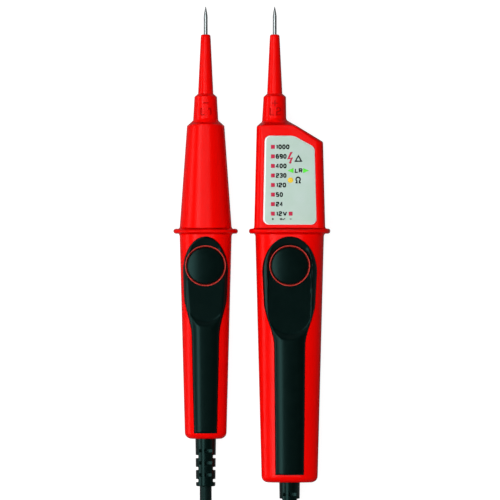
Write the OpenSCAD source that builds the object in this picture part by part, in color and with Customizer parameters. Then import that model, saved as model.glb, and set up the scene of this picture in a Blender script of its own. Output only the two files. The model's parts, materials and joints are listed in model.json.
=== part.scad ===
// Two-pole voltage tester: two hand-held probes on one lead, lying on their backs.
// Lengths are in millimetres. +Y runs towards the contact tips and +Z away from the table.

/* [Handles] */
// Height of both handle axes above the table
axis_z = 12; // [11.5:0.1:12.5]
// Free space between the two collars
collar_gap = 5.6; // [4:0.2:9]
// Wall of the housing halves
wall = 1.8; // [1.6:0.1:2]
// Thickness of the finger collars
collar_t = 2.5; // [2.2:0.1:3]
// Rounding of the collar rim
rim_r = 1.1; // [0.6:0.1:1.1]
// How far a collar stands out at the sides
collar_side = 3.1; // [2.4:0.1:4]
// How far a collar stands out at the front
collar_front = 2.2; // [1.6:0.1:3]
// Front of the body above the handle axis, at the collar
neck_front_h = 12.6; // [12.4:0.1:13]
// Front of the body above the handle axis, at the tail
tail_front_h = 7.5; // [7.3:0.1:8.5]
// Back of the body below the handle axis, at the collar
neck_back_h = 10.6; // [10.4:0.1:11]
// Rounding of the tail end
tail_r = 2.5; // [1.5:0.1:3]

/* [Plain handle] */
// Collar plane to tail end
plain_len = 104.7; // [103:0.1:110]
// Body width at the collar
plain_neck_w = 26.3; // [26:0.1:28]
// Body width at the tail
plain_tail_w = 20.9; // [20.5:0.1:23]
// Width at the shoulder below the nose
plain_shoulder_w = 19.1; // [18.5:0.1:20.5]
// Largest half width of the grip pad
plain_pad_half = 11.3; // [11:0.1:11.6]
// Half width of the flat thumb seat
plain_seat_half = 9.3; // [8.8:0.1:9.6]
// Collar plane to the lower end of the thumb seat
plain_seat_end = 45.5; // [43:0.1:48]

/* [Display handle] */
// Collar plane to tail end
display_len = 126.7; // [126:0.1:132]
// Body width at the collar
display_neck_w = 34.7; // [34.2:0.1:36]
// Body width at the tail
display_tail_w = 28.2; // [27.8:0.1:30]
// Head width at the collar
head_w = 35.8; // [35.4:0.1:37]
// Head width at the shoulder
head_top_w = 33.6; // [33.2:0.1:34.4]
// Height of the flat head front above the handle axis
head_front_h = 11; // [10.8:0.1:11.4]
// Collar plane to the outer corner of the sloping shoulder
head_corner_y = 44.5; // [44:0.1:45]
// Distance of the nose from the body's middle line
nose_offset = 7.5; // [7.2:0.1:7.8]
// Largest half width of the grip pad
display_pad_half = 13.7; // [13.4:0.1:14]
// Half width of the flat thumb seat
display_seat_half = 10.6; // [10.4:0.1:11]
// Collar plane to the lower end of the thumb seat
display_seat_end = 51.9; // [49:0.1:53]

/* [Nose] */
// Collar plane to the shoulder
shoulder_y = 52.3; // [52:0.1:53]
// Collar plane to the foot of the lug
lug_foot_y = 56.9; // [56.4:0.1:57.5]
// Collar plane to the top of the lug
lug_top_y = 67.8; // [67:0.1:69]
// Lug diameter at its foot
lug_foot_d = 12.7; // [12.4:0.1:13.2]
// Lug diameter at its top
lug_top_d = 11.35; // [11.1:0.05:11.8]
// Length of the chamfer on top of the lug
lug_chamfer = 2.2; // [1.6:0.1:2.6]
// Nose sleeve diameter at the lug
sleeve_d = 7.7; // [7.4:0.1:8]
// Nose sleeve diameter at its tip
sleeve_tip_d = 4.8; // [4.4:0.1:5.2]
// Collar plane to the tip of the sleeve
sleeve_tip_y = 99.3; // [97:0.1:101]
// Contact pin diameter
pin_d = 2; // [1.8:0.1:2.2]
// Collar plane to the point of the pin
pin_tip_y = 113.5; // [112:0.1:116]
// Length of the pin's ground point
pin_point = 5.2; // [4:0.1:6]

/* [Buttons] */
// Collar plane to the button axis
button_y = 17.4; // [17:0.1:18.5]
// Diameter of the push buttons
button_d = 18.4; // [18:0.1:18.6]
// Wall of the ring round a button
ring_wall = 0.9; // [0.7:0.1:0.9]
// Travel of a push button
button_travel = 1.2; // [0.8:0.1:1.3]
// Rise of the button's dome
button_dome = 0.8; // [0.5:0.1:1]
// Height of the flat thumb seat above the handle axis
seat_h = 9.6; // [9.4:0.1:9.8]

/* [Scale plate] */
// Side of the square windows
window_side = 1.9; // [1.6:0.1:2]
// Distance between the windows of the scale
window_pitch = 4.83; // [4.7:0.01:4.9]
// Thickness of the scale plate
plate_t = 1; // [0.8:0.1:1.1]

/* [Lead] */
// Diameter of the lead
cord_d = 6; // [5:0.1:6.2]
// Length of the strain reliefs outside the housing
relief_len = 24; // [22:0.5:28]
// Diameter of a strain relief at the housing
relief_d = 10.4; // [10:0.1:11]
// Diameter of a strain relief at its free end
relief_end_d = 9.75; // [9.4:0.05:10]

/* [Hidden] */
$fn = 48;

// The two handles are numbered, and the functions below take that number.
PLAIN = 0;
DISPLAY = 1;

// Clearances and overruns
fit = 0.05;
gap = 0.2;
over = 1;

function by_handle(d, plain, display) = d == DISPLAY ? display : plain;
function mix(a, b, t) = a + (b - a) * t;
function smooth(t) = t * t * (3 - 2 * t);
function body_len(d) = by_handle(d, plain_len, display_len);
function neck_half(d) = by_handle(d, plain_neck_w, display_neck_w) / 2;
function tail_half(d) = by_handle(d, plain_tail_w, display_tail_w) / 2;
function pad_half(d) = by_handle(d, plain_pad_half, display_pad_half);
function seat_half(d) = by_handle(d, plain_seat_half, display_seat_half);
function seat_end(d) = by_handle(d, plain_seat_end, display_seat_end);
function nose_x(d) = by_handle(d, 0, -nose_offset);

// Where the handles lie: the pair is centred on the origin from tips to reliefs
head_inset = 0.5;
collar_half = [neck_half(PLAIN) + collar_side, head_w / 2 + collar_side - head_inset];
total_w = 2 * collar_half[PLAIN] + collar_gap + 2 * collar_half[DISPLAY];
handle_x = [collar_half[PLAIN] - total_w / 2, total_w / 2 - collar_half[DISPLAY]];
collar_y = (display_len + relief_len - pin_tip_y) / 2;

module place(d) { translate([handle_x[d], collar_y, axis_z]) children(); }

// Cross sections: straight sides and elliptic corners, as shares of the half width and the height
body_side_share = 0.8;
body_crown_share = 0.75;
body_keel_share = 0.6;
head_side_share = 0.24;
head_crown_share = 0.36;
fore_side_share = 0.94;
fore_crown_share = 0.94;
corner_steps = 6;

// Half of a section above the axis plane, from right to left; its flat side is at height low
function half_section(left, right, h, side_share, crown_share, low) =
    let (mid = (left + right) / 2, a = (right - left) / 2, rx = a * side_share, rz = h * crown_share)
    concat(
        [[right, low]],
        [for (i = [0:corner_steps]) let (t = 90 * i / corner_steps)
            [mid + a - rx + rx * cos(t), h - rz + rz * sin(t)]],
        [for (i = [0:corner_steps]) let (t = 90 + 90 * i / corner_steps)
            [mid - a + rx + rx * cos(t), h - rz + rz * sin(t)]],
        [[left, low]]
    );

// Triangles across a ring from its first half to its second, and along the skin between rings
function cap_faces(first, count, turned) = [for (i = [0:count / 2 - 2])
    let (a = first + i, b = first + i + 1, c = first + count - 2 - i, d = first + count - 1 - i)
    each turned ? [[a, b, c], [a, c, d]] : [[c, b, a], [d, c, a]]];
function skin_faces(rings, count) = concat(
    cap_faces(0, count, false),
    [for (r = [0:rings - 2]) for (i = [0:count - 1]) each [
        [r * count + i, r * count + (i + 1) % count, (r + 1) * count + (i + 1) % count],
        [r * count + i, (r + 1) * count + (i + 1) % count, (r + 1) * count + i]
    ]],
    cap_faces((rings - 1) * count, count, true)
);

module skin(rings) {
    count = len(rings[0]);
    polyhedron([for (ring = rings) each ring], skin_faces(len(rings), count), convexity = 10);
}

// A station is [y, left, right, height, side share, crown share]; limit trims the height
module half_loft(stations, low, limit) {
    skin([for (s = stations) [for (p = half_section(s[1], s[2], s[3], s[4], s[5], low))
        [p[0], s[0], min(p[1], limit)]]]);
}

// Body lines between the tail (share 1) and the collar (share 0)
function along(d, y) = -y / body_len(d);
function half_at(d, y) = mix(neck_half(d), tail_half(d), along(d, y));
function front_at(d, y) = mix(neck_front_h, tail_front_h, along(d, y));
function back_at(d, y) = mix(neck_back_h, axis_z, along(d, y));
function keel(front) = front ? body_crown_share : body_keel_share;

tail_steps = 3;
function tail_stations(d, front) = [for (i = [0:tail_steps])
    let (t = 90 * i / tail_steps, inset = tail_r * (1 - sin(t)))
    let (y = -body_len(d) + tail_r * (1 - cos(t)), a = half_at(d, y) - inset)
    [y, -a, a, (front ? front_at(d, y) : back_at(d, y)) - inset, body_side_share, keel(front)]];

collar_keel = 1;
collar_fillet = 0.3;
function collar_stations(d, front) = let (a = collar_half[d], h = front ? neck_front_h + collar_front
    : axis_z + collar_keel) concat(
    [for (i = [0:2]) let (t = 45 * i, inset = rim_r * (1 - sin(t)))
        [-collar_t / 2 + rim_r * (1 - cos(t)), inset - a, a - inset, h - inset,
            body_side_share, keel(front)]],
    [for (i = [2:-1:0]) let (t = 45 * i, inset = rim_r * (1 - sin(t)))
        [collar_t / 2 - rim_r * (1 - cos(t)), inset - a, a - inset, h - inset,
            body_side_share, keel(front)]]
);

// Forebody of the plain handle: a round taper up to its shoulder
fore_front_h = 12.4;
shoulder_h = 9.6;
shoulder_r = 1;
lug_sink = 0.3;
flank_y = (shoulder_y + lug_foot_y) / 2;
flank_share = 0.75;
function fore_stations(front) = let (a0 = plain_neck_w / 2, a1 = plain_shoulder_w / 2,
    h0 = front ? fore_front_h : neck_back_h, r = lug_foot_d / 2 - lug_sink) [
    [collar_t / 2 + collar_fillet, -a0, a0, h0, fore_side_share, fore_crown_share],
    [shoulder_y - shoulder_r, -a1, a1, shoulder_h, fore_side_share, fore_crown_share],
    [shoulder_y, -a1 + shoulder_r / 4, a1 - shoulder_r / 4, shoulder_h - shoulder_r / 4,
        fore_side_share, fore_crown_share],
    [shoulder_y + shoulder_r / 2, -a1 + shoulder_r, a1 - shoulder_r, shoulder_h - shoulder_r,
        fore_side_share, fore_crown_share],
    [flank_y + shoulder_r / 2, mix(-a1, -r, flank_share), mix(a1, r, flank_share),
        mix(shoulder_h, r, flank_share), fore_side_share, fore_crown_share],
    [lug_foot_y, -r, r, r, fore_side_share, fore_crown_share]
];

// Head of the display handle: flat front, square left shoulder, sloping right shoulder
slope_run_share = 1.636;
head_back_h = 9.6;
flank_left_share = 0.8;
flank_right_share = 0.35;
flank_height_share = 0.7;
flank_round_share = 0.6;
function slope_x(y) = head_top_w / 2 - (y - head_corner_y) * slope_run_share;
function head_stations(front) = let (r = lug_foot_d / 2 - lug_sink, x = -nose_offset,
    l0 = -head_w / 2, l1 = -head_top_w / 2, h0 = front ? head_front_h : neck_back_h,
    h1 = front ? head_front_h : head_back_h, s = head_side_share,
    c = front ? head_crown_share : body_keel_share) [
    [collar_t / 2 + collar_fillet, l0, -l0, h0, s, c],
    [head_corner_y - shoulder_r / 2, l1, -l1, h1, s, c],
    [head_corner_y + shoulder_r / 2, l1, slope_x(head_corner_y + shoulder_r / 2), h1, s, c],
    [shoulder_y - shoulder_r / 2, l1, slope_x(shoulder_y - shoulder_r / 2), h1, s, c],
    [shoulder_y + shoulder_r / 2, l1 + shoulder_r, slope_x(shoulder_y + shoulder_r / 2),
        h1 - shoulder_r / 2, s, c],
    [flank_y + shoulder_r / 2, mix(l1, x - r, flank_left_share),
        mix(slope_x(flank_y), x + r, flank_right_share), mix(h1, r, flank_height_share),
        mix(s, fore_side_share, flank_round_share), mix(c, fore_side_share, flank_round_share)],
    [lug_foot_y, x - r, x + r, r, fore_side_share, fore_side_share]
];

function upper_stations(d, front) = d == DISPLAY ? head_stations(front) : fore_stations(front);

module outer_half(d, front) {
    neck_y = -collar_t / 2 - collar_fillet;
    a = half_at(d, neck_y);
    h = front ? front_at(d, neck_y) : back_at(d, neck_y);
    mirror([0, 0, front ? 0 : 1])
        half_loft(concat(tail_stations(d, front), [[neck_y, -a, a, h, body_side_share, keel(front)]],
            collar_stations(d, front), upper_stations(d, front)), 0, front ? 2 * axis_z : axis_z);
}

// The hollow of a half: its roof stays under the grip pad and its seat
end_wall = 3;
roof_neck_h = 7.2;
roof_tail_h = 5;
head_roof_h = 8.4;
hollow_top_y = 50;
function hollow_front(d, y) = mix(roof_neck_h, roof_tail_h, along(d, y));
function hollow_half(d, y) = half_at(d, y) - wall;
function hollow_station(d, y, front) = [y, -hollow_half(d, y), hollow_half(d, y),
    front ? hollow_front(d, y) : back_at(d, y) - wall, body_side_share, keel(front)];
function head_hollow(front) = let (a = head_w / 2 - wall, b = head_top_w / 2 - wall,
    h0 = front ? head_roof_h : neck_back_h - wall, h1 = front ? head_roof_h : head_back_h - wall,
    s = head_side_share, c = front ? head_crown_share : body_keel_share,
    corner = head_corner_y - wall / 2) [
    [0, -a, a, h0, s, c],
    [corner, -b, b, h1, s, c],
    [hollow_top_y, -b, slope_x(hollow_top_y + wall), h1, s, c]
];
function fore_hollow(front) = let (a = plain_neck_w / 2 - wall, b = plain_shoulder_w / 2 - wall,
    h0 = (front ? fore_front_h : neck_back_h) - wall) [
    [0, -a, a, h0, fore_side_share, fore_crown_share],
    [hollow_top_y, -b, b, shoulder_h - wall, fore_side_share, fore_crown_share]
];

module hollow_half_body(d, front) {
    low_y = -body_len(d) + end_wall;
    mirror([0, 0, front ? 0 : 1]) {
        half_loft([hollow_station(d, low_y, front), hollow_station(d, low_y / 2, front),
            hollow_station(d, 0, front), hollow_station(d, collar_t / 2, front)], -over, 2 * axis_z);
        half_loft(d == DISPLAY ? head_hollow(front) : fore_hollow(front), -over, 2 * axis_z);
    }
}

// A round bar along Y from y0 to y1, at the nose axis
module nose_bar(d, r0, r1, y0, y1) {
    translate([nose_x(d), y0, 0]) rotate([-90, 0, 0]) cylinder(h = y1 - y0, r1 = r0, r2 = r1);
}

// Nose: lug outside, socket and pin hole inside
socket_foot_y = 54.5;
flange_r = 4.7;
flange_t = 2.2;
flange_y = 60;
pin_head_r = 2.6;
pin_head_t = 3;
shank_r = 1.3;
module lug(d) {
    foot_y = lug_foot_y - shoulder_r;
    nose_bar(d, lug_foot_d / 2, lug_top_d / 2, foot_y, lug_top_y);
    nose_bar(d, lug_top_d / 2, sleeve_d / 2 + gap, lug_top_y, lug_top_y + lug_chamfer);
}
module nose_bores(d) {
    nose_bar(d, sleeve_d / 2 + fit, sleeve_d / 2 + fit, socket_foot_y, lug_top_y + lug_chamfer + over);
    nose_bar(d, flange_r + fit, flange_r + fit, flange_y - fit, flange_y + flange_t + fit);
    nose_bar(d, shank_r + fit, shank_r + fit, hollow_top_y - over, socket_foot_y + over);
}

// Tail: a round neck in the end wall for the strain relief
relief_neck_r = 4;
relief_flange_r = 4.8;
relief_flange_t = 2;
module tail_bore(d) {
    translate([0, -body_len(d) - over, 0]) rotate([-90, 0, 0])
        cylinder(h = end_wall + 2 * over, r = relief_neck_r + fit);
}

// Housing screws: places along each handle, as [x, y]
screw_r = 1.1;
screw_head_r = 2.2;
screw_head_t = 1.4;
boss_r = 3;
boss_top_h = 6;
seat_depth = 6.6;
neck_screw_y = 3.6;
head_screw = [11.3, 37.5];
fore_screw_y = 42;
plain_tail_screw_gap = 9.1;
display_tail_screw_gap = 11.5;
plain_screw_x = 7.4;
display_screw_x = 11.3;
function screw_places(d) = d == DISPLAY
    ? [[-display_screw_x, -neck_screw_y], [display_screw_x, -neck_screw_y], head_screw,
        [0, display_tail_screw_gap - display_len]]
    : [[-plain_screw_x, -neck_screw_y], [plain_screw_x, -neck_screw_y], [0, fore_screw_y],
        [0, plain_tail_screw_gap - plain_len]];

module at_screws(d) {
    for (p = screw_places(d)) translate([p[0], p[1], 0]) children();
}

// Grip pad: its half width along the handle
pad_top_y = 2.7;
pad_wide_y = 20.6;
pad_end_gap = 3.7;
pad_t = 1.2;
pad_proud = 0.35;
pad_floor = 1;
pad_waist_share = 0.61;
pad_foot_share = 0.51;
display_waist_share = 0.565;
display_foot_share = 0.52;
pad_mid_share = 0.965;
display_mid_share = 0.945;
plain_narrow_y = 31;
plain_waist_y = 53;
display_narrow_y = 35;
display_waist_y = 58;
function narrow_y(d) = by_handle(d, plain_narrow_y, display_narrow_y);
function waist_y(d) = by_handle(d, plain_waist_y, display_waist_y);
function pad_end_y(d) = body_len(d) - pad_end_gap;
function pad_at(d, y) = let (w = pad_half(d), down = -y,
    mid = w * by_handle(d, pad_mid_share, display_mid_share),
    waist = w * by_handle(d, pad_waist_share, display_waist_share),
    foot = w * by_handle(d, pad_foot_share, display_foot_share))
    down < pad_wide_y ? w * sqrt(max(0, 1 - pow((pad_wide_y - down) / (pad_wide_y - pad_top_y), 2)))
    : down < narrow_y(d) ? mix(w, mid, (down - pad_wide_y) / (narrow_y(d) - pad_wide_y))
    : down < waist_y(d) ? mix(mid, waist, smooth((down - narrow_y(d)) / (waist_y(d) - narrow_y(d))))
    : mix(waist, foot, (down - waist_y(d)) / (pad_end_y(d) - waist_y(d)));

// Front surface of the body above a place on it
function front_height(d, x, y) = let (a = half_at(d, y), h = front_at(d, y),
    rx = a * body_side_share, rz = h * body_crown_share, u = max(0, abs(x) - a + rx) / rx)
    h - rz + rz * sqrt(max(0, 1 - u * u));

// Stations up the pad: wide apart at its foot, dense in the narrowing and the arch
arch_steps = 6;
narrow_steps = 4;
foot_steps = 3;
function pad_stations(d) = concat(
    [for (i = [foot_steps:-1:1]) -mix(waist_y(d), pad_end_y(d), i / foot_steps)],
    [for (i = [narrow_steps:-1:0]) -mix(narrow_y(d), waist_y(d), i / narrow_steps)],
    [for (i = [arch_steps:-1:1]) -pad_wide_y + (pad_wide_y - pad_top_y) * cos(90 * i / arch_steps)]
);
pad_columns = 8;
function seat_zone(d, y) = -y < seat_end(d) + pad_t;
function pad_ring(d, y, up, down, grow) = let (w = pad_at(d, y) + grow) concat(
    [for (i = [0:pad_columns]) let (x = w * (1 - 2 * i / pad_columns))
        [x, y, front_height(d, x, y) + up]],
    [for (i = [pad_columns:-1:0]) let (x = w * (1 - 2 * i / pad_columns), z = front_height(d, x, y))
        [x, y, (seat_zone(d, y) ? min(z, seat_h) : z) - down]]
);
module pad_strip(d, up, down, grow) {
    skin([for (y = pad_stations(d)) pad_ring(d, y, up, down, grow)]);
}

// Thumb seat: a flat floor with round ends, cut into the pad and the body
module seat_cut(d) {
    r = seat_half(d);
    low_y = seat_end(d) - r;
    translate([0, 0, seat_h]) linear_extrude(axis_z) union() {
        translate([0, -low_y]) circle(r);
        translate([-r, -low_y]) square([2 * r, low_y - button_y]);
        translate([0, -button_y]) circle(r);
    }
}

// Push button: cap, ring and the bore that holds them
button_r = button_d / 2;
cap_gap = 0.15;
ring_r = button_r + cap_gap + ring_wall;
ring_foot_h = 7.1;
ring_proud = 0.7;
cap_flange = 0.75;
cap_flange_t = 1.2;
cap_rim_h = 10.4;
cap_foot_h = ring_foot_h - cap_flange_t - gap / 2;
bore_depth = 0.5;
module button_bore(d) {
    translate([0, -button_y, cap_foot_h - bore_depth - button_travel])
        cylinder(h = axis_z, r = ring_r + fit);
}

// The battery bay and the motor lie at fixed distances from the tail ends
cell_len = 44.5;
cell_tail_gap = 20;
cell_top_y = display_len - cell_tail_gap - cell_len;
motor_len = 16;
motor_tail_gap = 22.7;
motor_y = plain_len - motor_tail_gap - motor_len;

// Circuit boards lie across the axis plane, on posts from the back shell
board_t = 1.6;
board_top_h = 0.9;
board_gap = 0.8;
board_bay_gap = 10.2;
board_motor_gap = 6;
display_board_foot = cell_top_y - board_bay_gap;
display_board_top = 45;
plain_board_foot = motor_y - board_motor_gap;
plain_board_top = 36.5;
board_under_h = board_top_h - board_t;
post_r = 1.5;
post_x = 9.5;
plain_post_x = 5.5;
post_foot_gap = 4;
post_pitch = 26;
head_posts = [[-post_x, 14], [post_x, 14], [post_x, 30], [-post_x, 40]];
foot_posts = [for (x = [-post_x, post_x]) for (y = [post_foot_gap, post_foot_gap + post_pitch])
    [x, y - display_board_foot]];
display_posts = concat(head_posts, foot_posts);
plain_posts = [[0, 30], [-plain_post_x, 10], [plain_post_x, 10], [0, post_foot_gap - plain_board_foot],
    [-plain_post_x, post_foot_gap + post_pitch - plain_board_foot],
    [plain_post_x, post_foot_gap + post_pitch - plain_board_foot]];
module board_posts(d) {
    for (p = d == DISPLAY ? display_posts : plain_posts) translate([p[0], p[1], -axis_z])
        cylinder(h = axis_z + board_under_h, r = post_r);
}

// Motor cradles in the back of the plain handle
motor_r = 4.5;
cradle_t = 2;
cradle_half = 6;
shaft_r = 0.75;
shaft_len = 8;
shaft_grip = 3;
weight_r = 4.2;
weight_len = 5;
weight_gap = 1.2;
weight_flat = 1.2;
module motor_cradles() {
    for (y = [motor_y + cradle_t, motor_y + motor_len - 2 * cradle_t]) difference() {
        translate([-cradle_half, -y - cradle_t, -axis_z]) cube([2 * cradle_half, cradle_t, axis_z]);
        translate([0, -y - cradle_t - over, 0]) rotate([-90, 0, 0])
            cylinder(h = cradle_t + 2 * over, r = motor_r + fit);
    }
}

// Battery bay in the tail of the display handle
cell_r = 5.25;
cell_x = 5.3;
cell_h = -4;
nub_r = 1.9;
nub_len = 0.8;
holder_half = 11.2;
holder_floor_h = 1.7;
holder_t = 1.2;
holder_wall_foot = 6;
contact_t = 0.4;
contact_half = 4;
contact_h = 7;
peg_r = 1.2;
peg_inset = 8;
cover_half = 11;
cover_top_gap = 8.8;
cover_tail_gap = 16.9;
cover_top_y = cell_top_y - cover_top_gap;
cover_foot_y = display_len - cover_tail_gap;
cover_cut_h = 6;
cover_screw_inset = 3.6;
cover_screw_y = cover_top_y + cover_screw_inset;
cover_screw_r = 1.5;
cover_head_r = 2.6;
cover_head_t = 1.6;
cover_head_h = 10.6;
cover_pad_r = 3.8;
cover_pad_h = 7.2;
cover_screw_len = 10;
post_big_r = 3.1;
post_foot_h = 7;
holder_top_y = cell_top_y - contact_t - gap / 2;
holder_foot_y = cell_top_y + cell_len + contact_t + gap / 2;

module cover_prism(shrink) {
    translate([-cover_half + shrink, -cover_foot_y + shrink, -axis_z - over])
        cube([2 * (cover_half - shrink), cover_foot_y - cover_top_y - 2 * shrink,
            axis_z + over - cover_cut_h]);
}
module cover_post() {
    translate([0, -cover_screw_y, -post_foot_h])
        cylinder(h = post_foot_h + roof_neck_h, r = post_big_r);
}

// Scale plate: outline, windows and the light shafts below it, seen from the front
plate_half = 12.8;
plate_foot_half = 13.5;
plate_foot_y = 3.2;
plate_top_y = 48.3;
plate_slope_x = 2;
plate_slope_y = 43.2;
plate_round = 2.3;
plate_steps = 4;
column_x = 8.4;
column_foot_y = 8.8;
scale_count = 8;
sign_x = 0.45;
arrow_x = 8.25;
arrow_y = 30.6;
arrow_w = 3.1;
arrow_h = 2.6;
dot_y = 25.7;
dot_d = 2.8;
bolt_y = 37;
bolt_w = 3.4;
bolt_h = 5.4;
window_proud = 0.1;
shaft_room = 0.3;
block_x0 = 10.2;
block_x1 = -6.6;
block_x2 = 2.6;
block_x3 = 10.4;
block_foot_y = 6.7;
block_top_y = 44.6;
block_bolt_y = 40.4;
block_arrow_y = 33;
diode_side = 1.6;
diode_h = 0.8;
plate_outline = [[-plate_foot_half, plate_foot_y], [plate_foot_half, plate_foot_y],
    [plate_half, plate_slope_y], [plate_slope_x, plate_top_y], [-plate_half, plate_top_y]];
bolt_shares = [[0.1, 0.5], [-0.5, -0.05], [-0.08, -0.05], [-0.2, -0.5], [0.5, 0.12], [0.06, 0.12],
    [0.45, 0.5]];
scale_places = concat([for (i = [0:scale_count - 1]) [-column_x, column_foot_y + i * window_pitch]],
    [[sign_x, column_foot_y]]);
lamp_places = concat(scale_places, [[sign_x, arrow_y], [arrow_x, arrow_y], [sign_x, dot_y],
    [sign_x, bolt_y]]);

// An outline with round corners, its points anticlockwise
function unit(v) = v / norm(v);
function round_outline(points, r, steps, shrink) = let (n = len(points)) [for (i = [0:n - 1])
    let (p = points[i], a = unit(points[(i + n - 1) % n] - p), b = unit(points[(i + 1) % n] - p),
        half = acos(a * b) / 2, mid = unit(a + b), centre = p + mid * (r / sin(half)),
        from = atan2(-mid[1], -mid[0]) - (90 - half))
    for (k = [0:steps]) let (t = from + (180 - 2 * half) * k / steps)
        centre + (r - shrink) * [cos(t), sin(t)]];
module plate_shape(shrink) {
    polygon(round_outline(plate_outline, plate_round, plate_steps, shrink));
}
module block_shape(shrink) {
    translate([-block_x0 + shrink, block_foot_y + shrink])
        for (corner = [[block_x1, block_top_y], [block_x2, block_bolt_y], [block_x3, block_arrow_y]])
            square([corner[0] + block_x0 - 2 * shrink, corner[1] - block_foot_y - 2 * shrink]);
}
module square_at(p, side) { translate([p[0] - side / 2, p[1] - side / 2]) square(side); }
module arrow_shape(side, grow) {
    w = arrow_w / 2 + grow;
    h = arrow_h / 2 + grow;
    polygon(side > 0 ? [[-w, -h], [w, 0], [-w, h]] : [[w, h], [-w, 0], [w, -h]]);
}
module bolt_shape(grow) {
    polygon([for (p = bolt_shares) [p[0] * (bolt_w + grow), p[1] * (bolt_h + grow)]]);
}
module window_shapes(grow) {
    for (p = scale_places) square_at(p, window_side + 2 * grow);
    translate([sign_x, arrow_y]) arrow_shape(-1, grow);
    translate([arrow_x, arrow_y]) arrow_shape(1, grow);
    translate([sign_x, dot_y]) circle(dot_d / 2 + grow);
    translate([sign_x, bolt_y]) bolt_shape(2 * grow);
}

red = "#e8120c";
black = "#10201f";

// Housing shells
module nose_side(d, front) {
    translate([nose_x(d) - axis_z, 0, front ? 0 : -axis_z]) cube([2 * axis_z, 2 * lug_top_y, axis_z]);
}
module front_shell(d) {
    color(red) place(d) difference() {
        union() {
            difference() {
                outer_half(d, true);
                hollow_half_body(d, true);
            }
            intersection() {
                lug(d);
                nose_side(d, true);
            }
            intersection() {
                outer_half(d, true);
                at_screws(d) cylinder(h = 2 * axis_z, r = boss_r);
            }
            if (d == DISPLAY) cover_post();
        }
        nose_bores(d);
        tail_bore(d);
        at_screws(d) translate([0, 0, -over]) cylinder(h = boss_top_h, r = screw_r + fit);
        pad_strip(d, axis_z / 2, pad_floor, fit);
        button_bore(d);
        if (d == DISPLAY) {
            translate([0, 0, head_front_h - plate_t - fit]) linear_extrude(axis_z) plate_shape(0);
            linear_extrude(axis_z) block_shape(0);
            translate([0, -cover_screw_y, -axis_z]) cylinder(h = axis_z + 2 * over, r = cover_screw_r + fit);
        }
    }
}
module back_shell(d) {
    color(red) place(d) difference() {
        union() {
            difference() {
                outer_half(d, false);
                hollow_half_body(d, false);
            }
            intersection() {
                lug(d);
                nose_side(d, false);
            }
            intersection() {
                outer_half(d, false);
                union() {
                    at_screws(d) translate([0, 0, -axis_z]) cylinder(h = axis_z, r = boss_r);
                    board_posts(d);
                    if (d == PLAIN) motor_cradles();
                }
            }
        }
        nose_bores(d);
        tail_bore(d);
        at_screws(d) translate([0, 0, -axis_z - over]) {
            cylinder(h = axis_z + 2 * over, r = screw_r + gap);
            cylinder(h = axis_z + over - seat_depth, r = screw_head_r + gap);
        }
        if (d == DISPLAY) cover_prism(0);
    }
}
module display_front_shell() { front_shell(DISPLAY); }
module display_back_shell() { back_shell(DISPLAY); }
module plain_front_shell() { front_shell(PLAIN); }
module plain_back_shell() { back_shell(PLAIN); }

// Housing screws, with a cross in the head
slot_w = 0.5;
slot_depth = 0.8;
slot_share = 0.7;
screw_end_h = 5;
module cross_screw(r, head_r, head_t, length) {
    difference() {
        union() {
            cylinder(h = length, r = r);
            translate([0, 0, -head_t]) cylinder(h = head_t, r = head_r);
        }
        for (t = [0, 90]) rotate(t) translate([-head_r * slot_share, -slot_w / 2, -head_t - over])
            cube([2 * head_r * slot_share, slot_w, over + slot_depth]);
    }
}
module housing_screws(d) {
    color("#8c9092") place(d) at_screws(d) translate([0, 0, -seat_depth])
        cross_screw(screw_r, screw_head_r, screw_head_t, seat_depth + screw_end_h);
}
module display_housing_screws() { housing_screws(DISPLAY); }
module plain_housing_screws() { housing_screws(PLAIN); }

// Nose sleeve: shank and flange inside the lug, slim cone outside
sleeve_round = 0.6;
module nose_sleeve(d) {
    r = sleeve_d / 2;
    bore = shank_r + fit;
    tip = sleeve_tip_d / 2;
    foot = socket_foot_y + gap;
    color(red) place(d) translate([nose_x(d), 0, 0]) rotate([-90, 0, 0]) rotate_extrude()
        polygon(concat([[bore, foot], [r, foot], [r, flange_y], [flange_r, flange_y],
            [flange_r, flange_y + flange_t], [r, flange_y + flange_t], [r, lug_top_y + lug_chamfer]],
            [for (t = [0:30:90])
                [tip - sleeve_round * (1 - cos(t)), sleeve_tip_y - sleeve_round * (1 - sin(t))]],
            [[bore, sleeve_tip_y]]));
}
module display_nose_sleeve() { nose_sleeve(DISPLAY); }
module plain_nose_sleeve() { nose_sleeve(PLAIN); }

// Contact probe: head inside the shoulder, shank through the sleeve, bare pin with a ground point
point_r = 0.12;
module contact_probe(d) {
    color("#b9c0c2") place(d) {
        nose_bar(d, pin_head_r, pin_head_r, hollow_top_y - pin_head_t, hollow_top_y);
        nose_bar(d, shank_r, shank_r, hollow_top_y - over / 2, sleeve_tip_y);
        nose_bar(d, pin_d / 2, pin_d / 2, sleeve_tip_y - over, pin_tip_y - pin_point);
        nose_bar(d, pin_d / 2, point_r, pin_tip_y - pin_point, pin_tip_y);
    }
}
module display_contact_probe() { contact_probe(DISPLAY); }
module plain_contact_probe() { contact_probe(PLAIN); }

// Grip pad with the thumb seat and the hole for the button ring
module grip_pad(d) {
    color(black) place(d) difference() {
        pad_strip(d, pad_proud, pad_floor - fit, 0);
        seat_cut(d);
        button_bore(d);
    }
}
module display_grip_pad() { grip_pad(DISPLAY); }
module plain_grip_pad() { grip_pad(PLAIN); }

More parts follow.
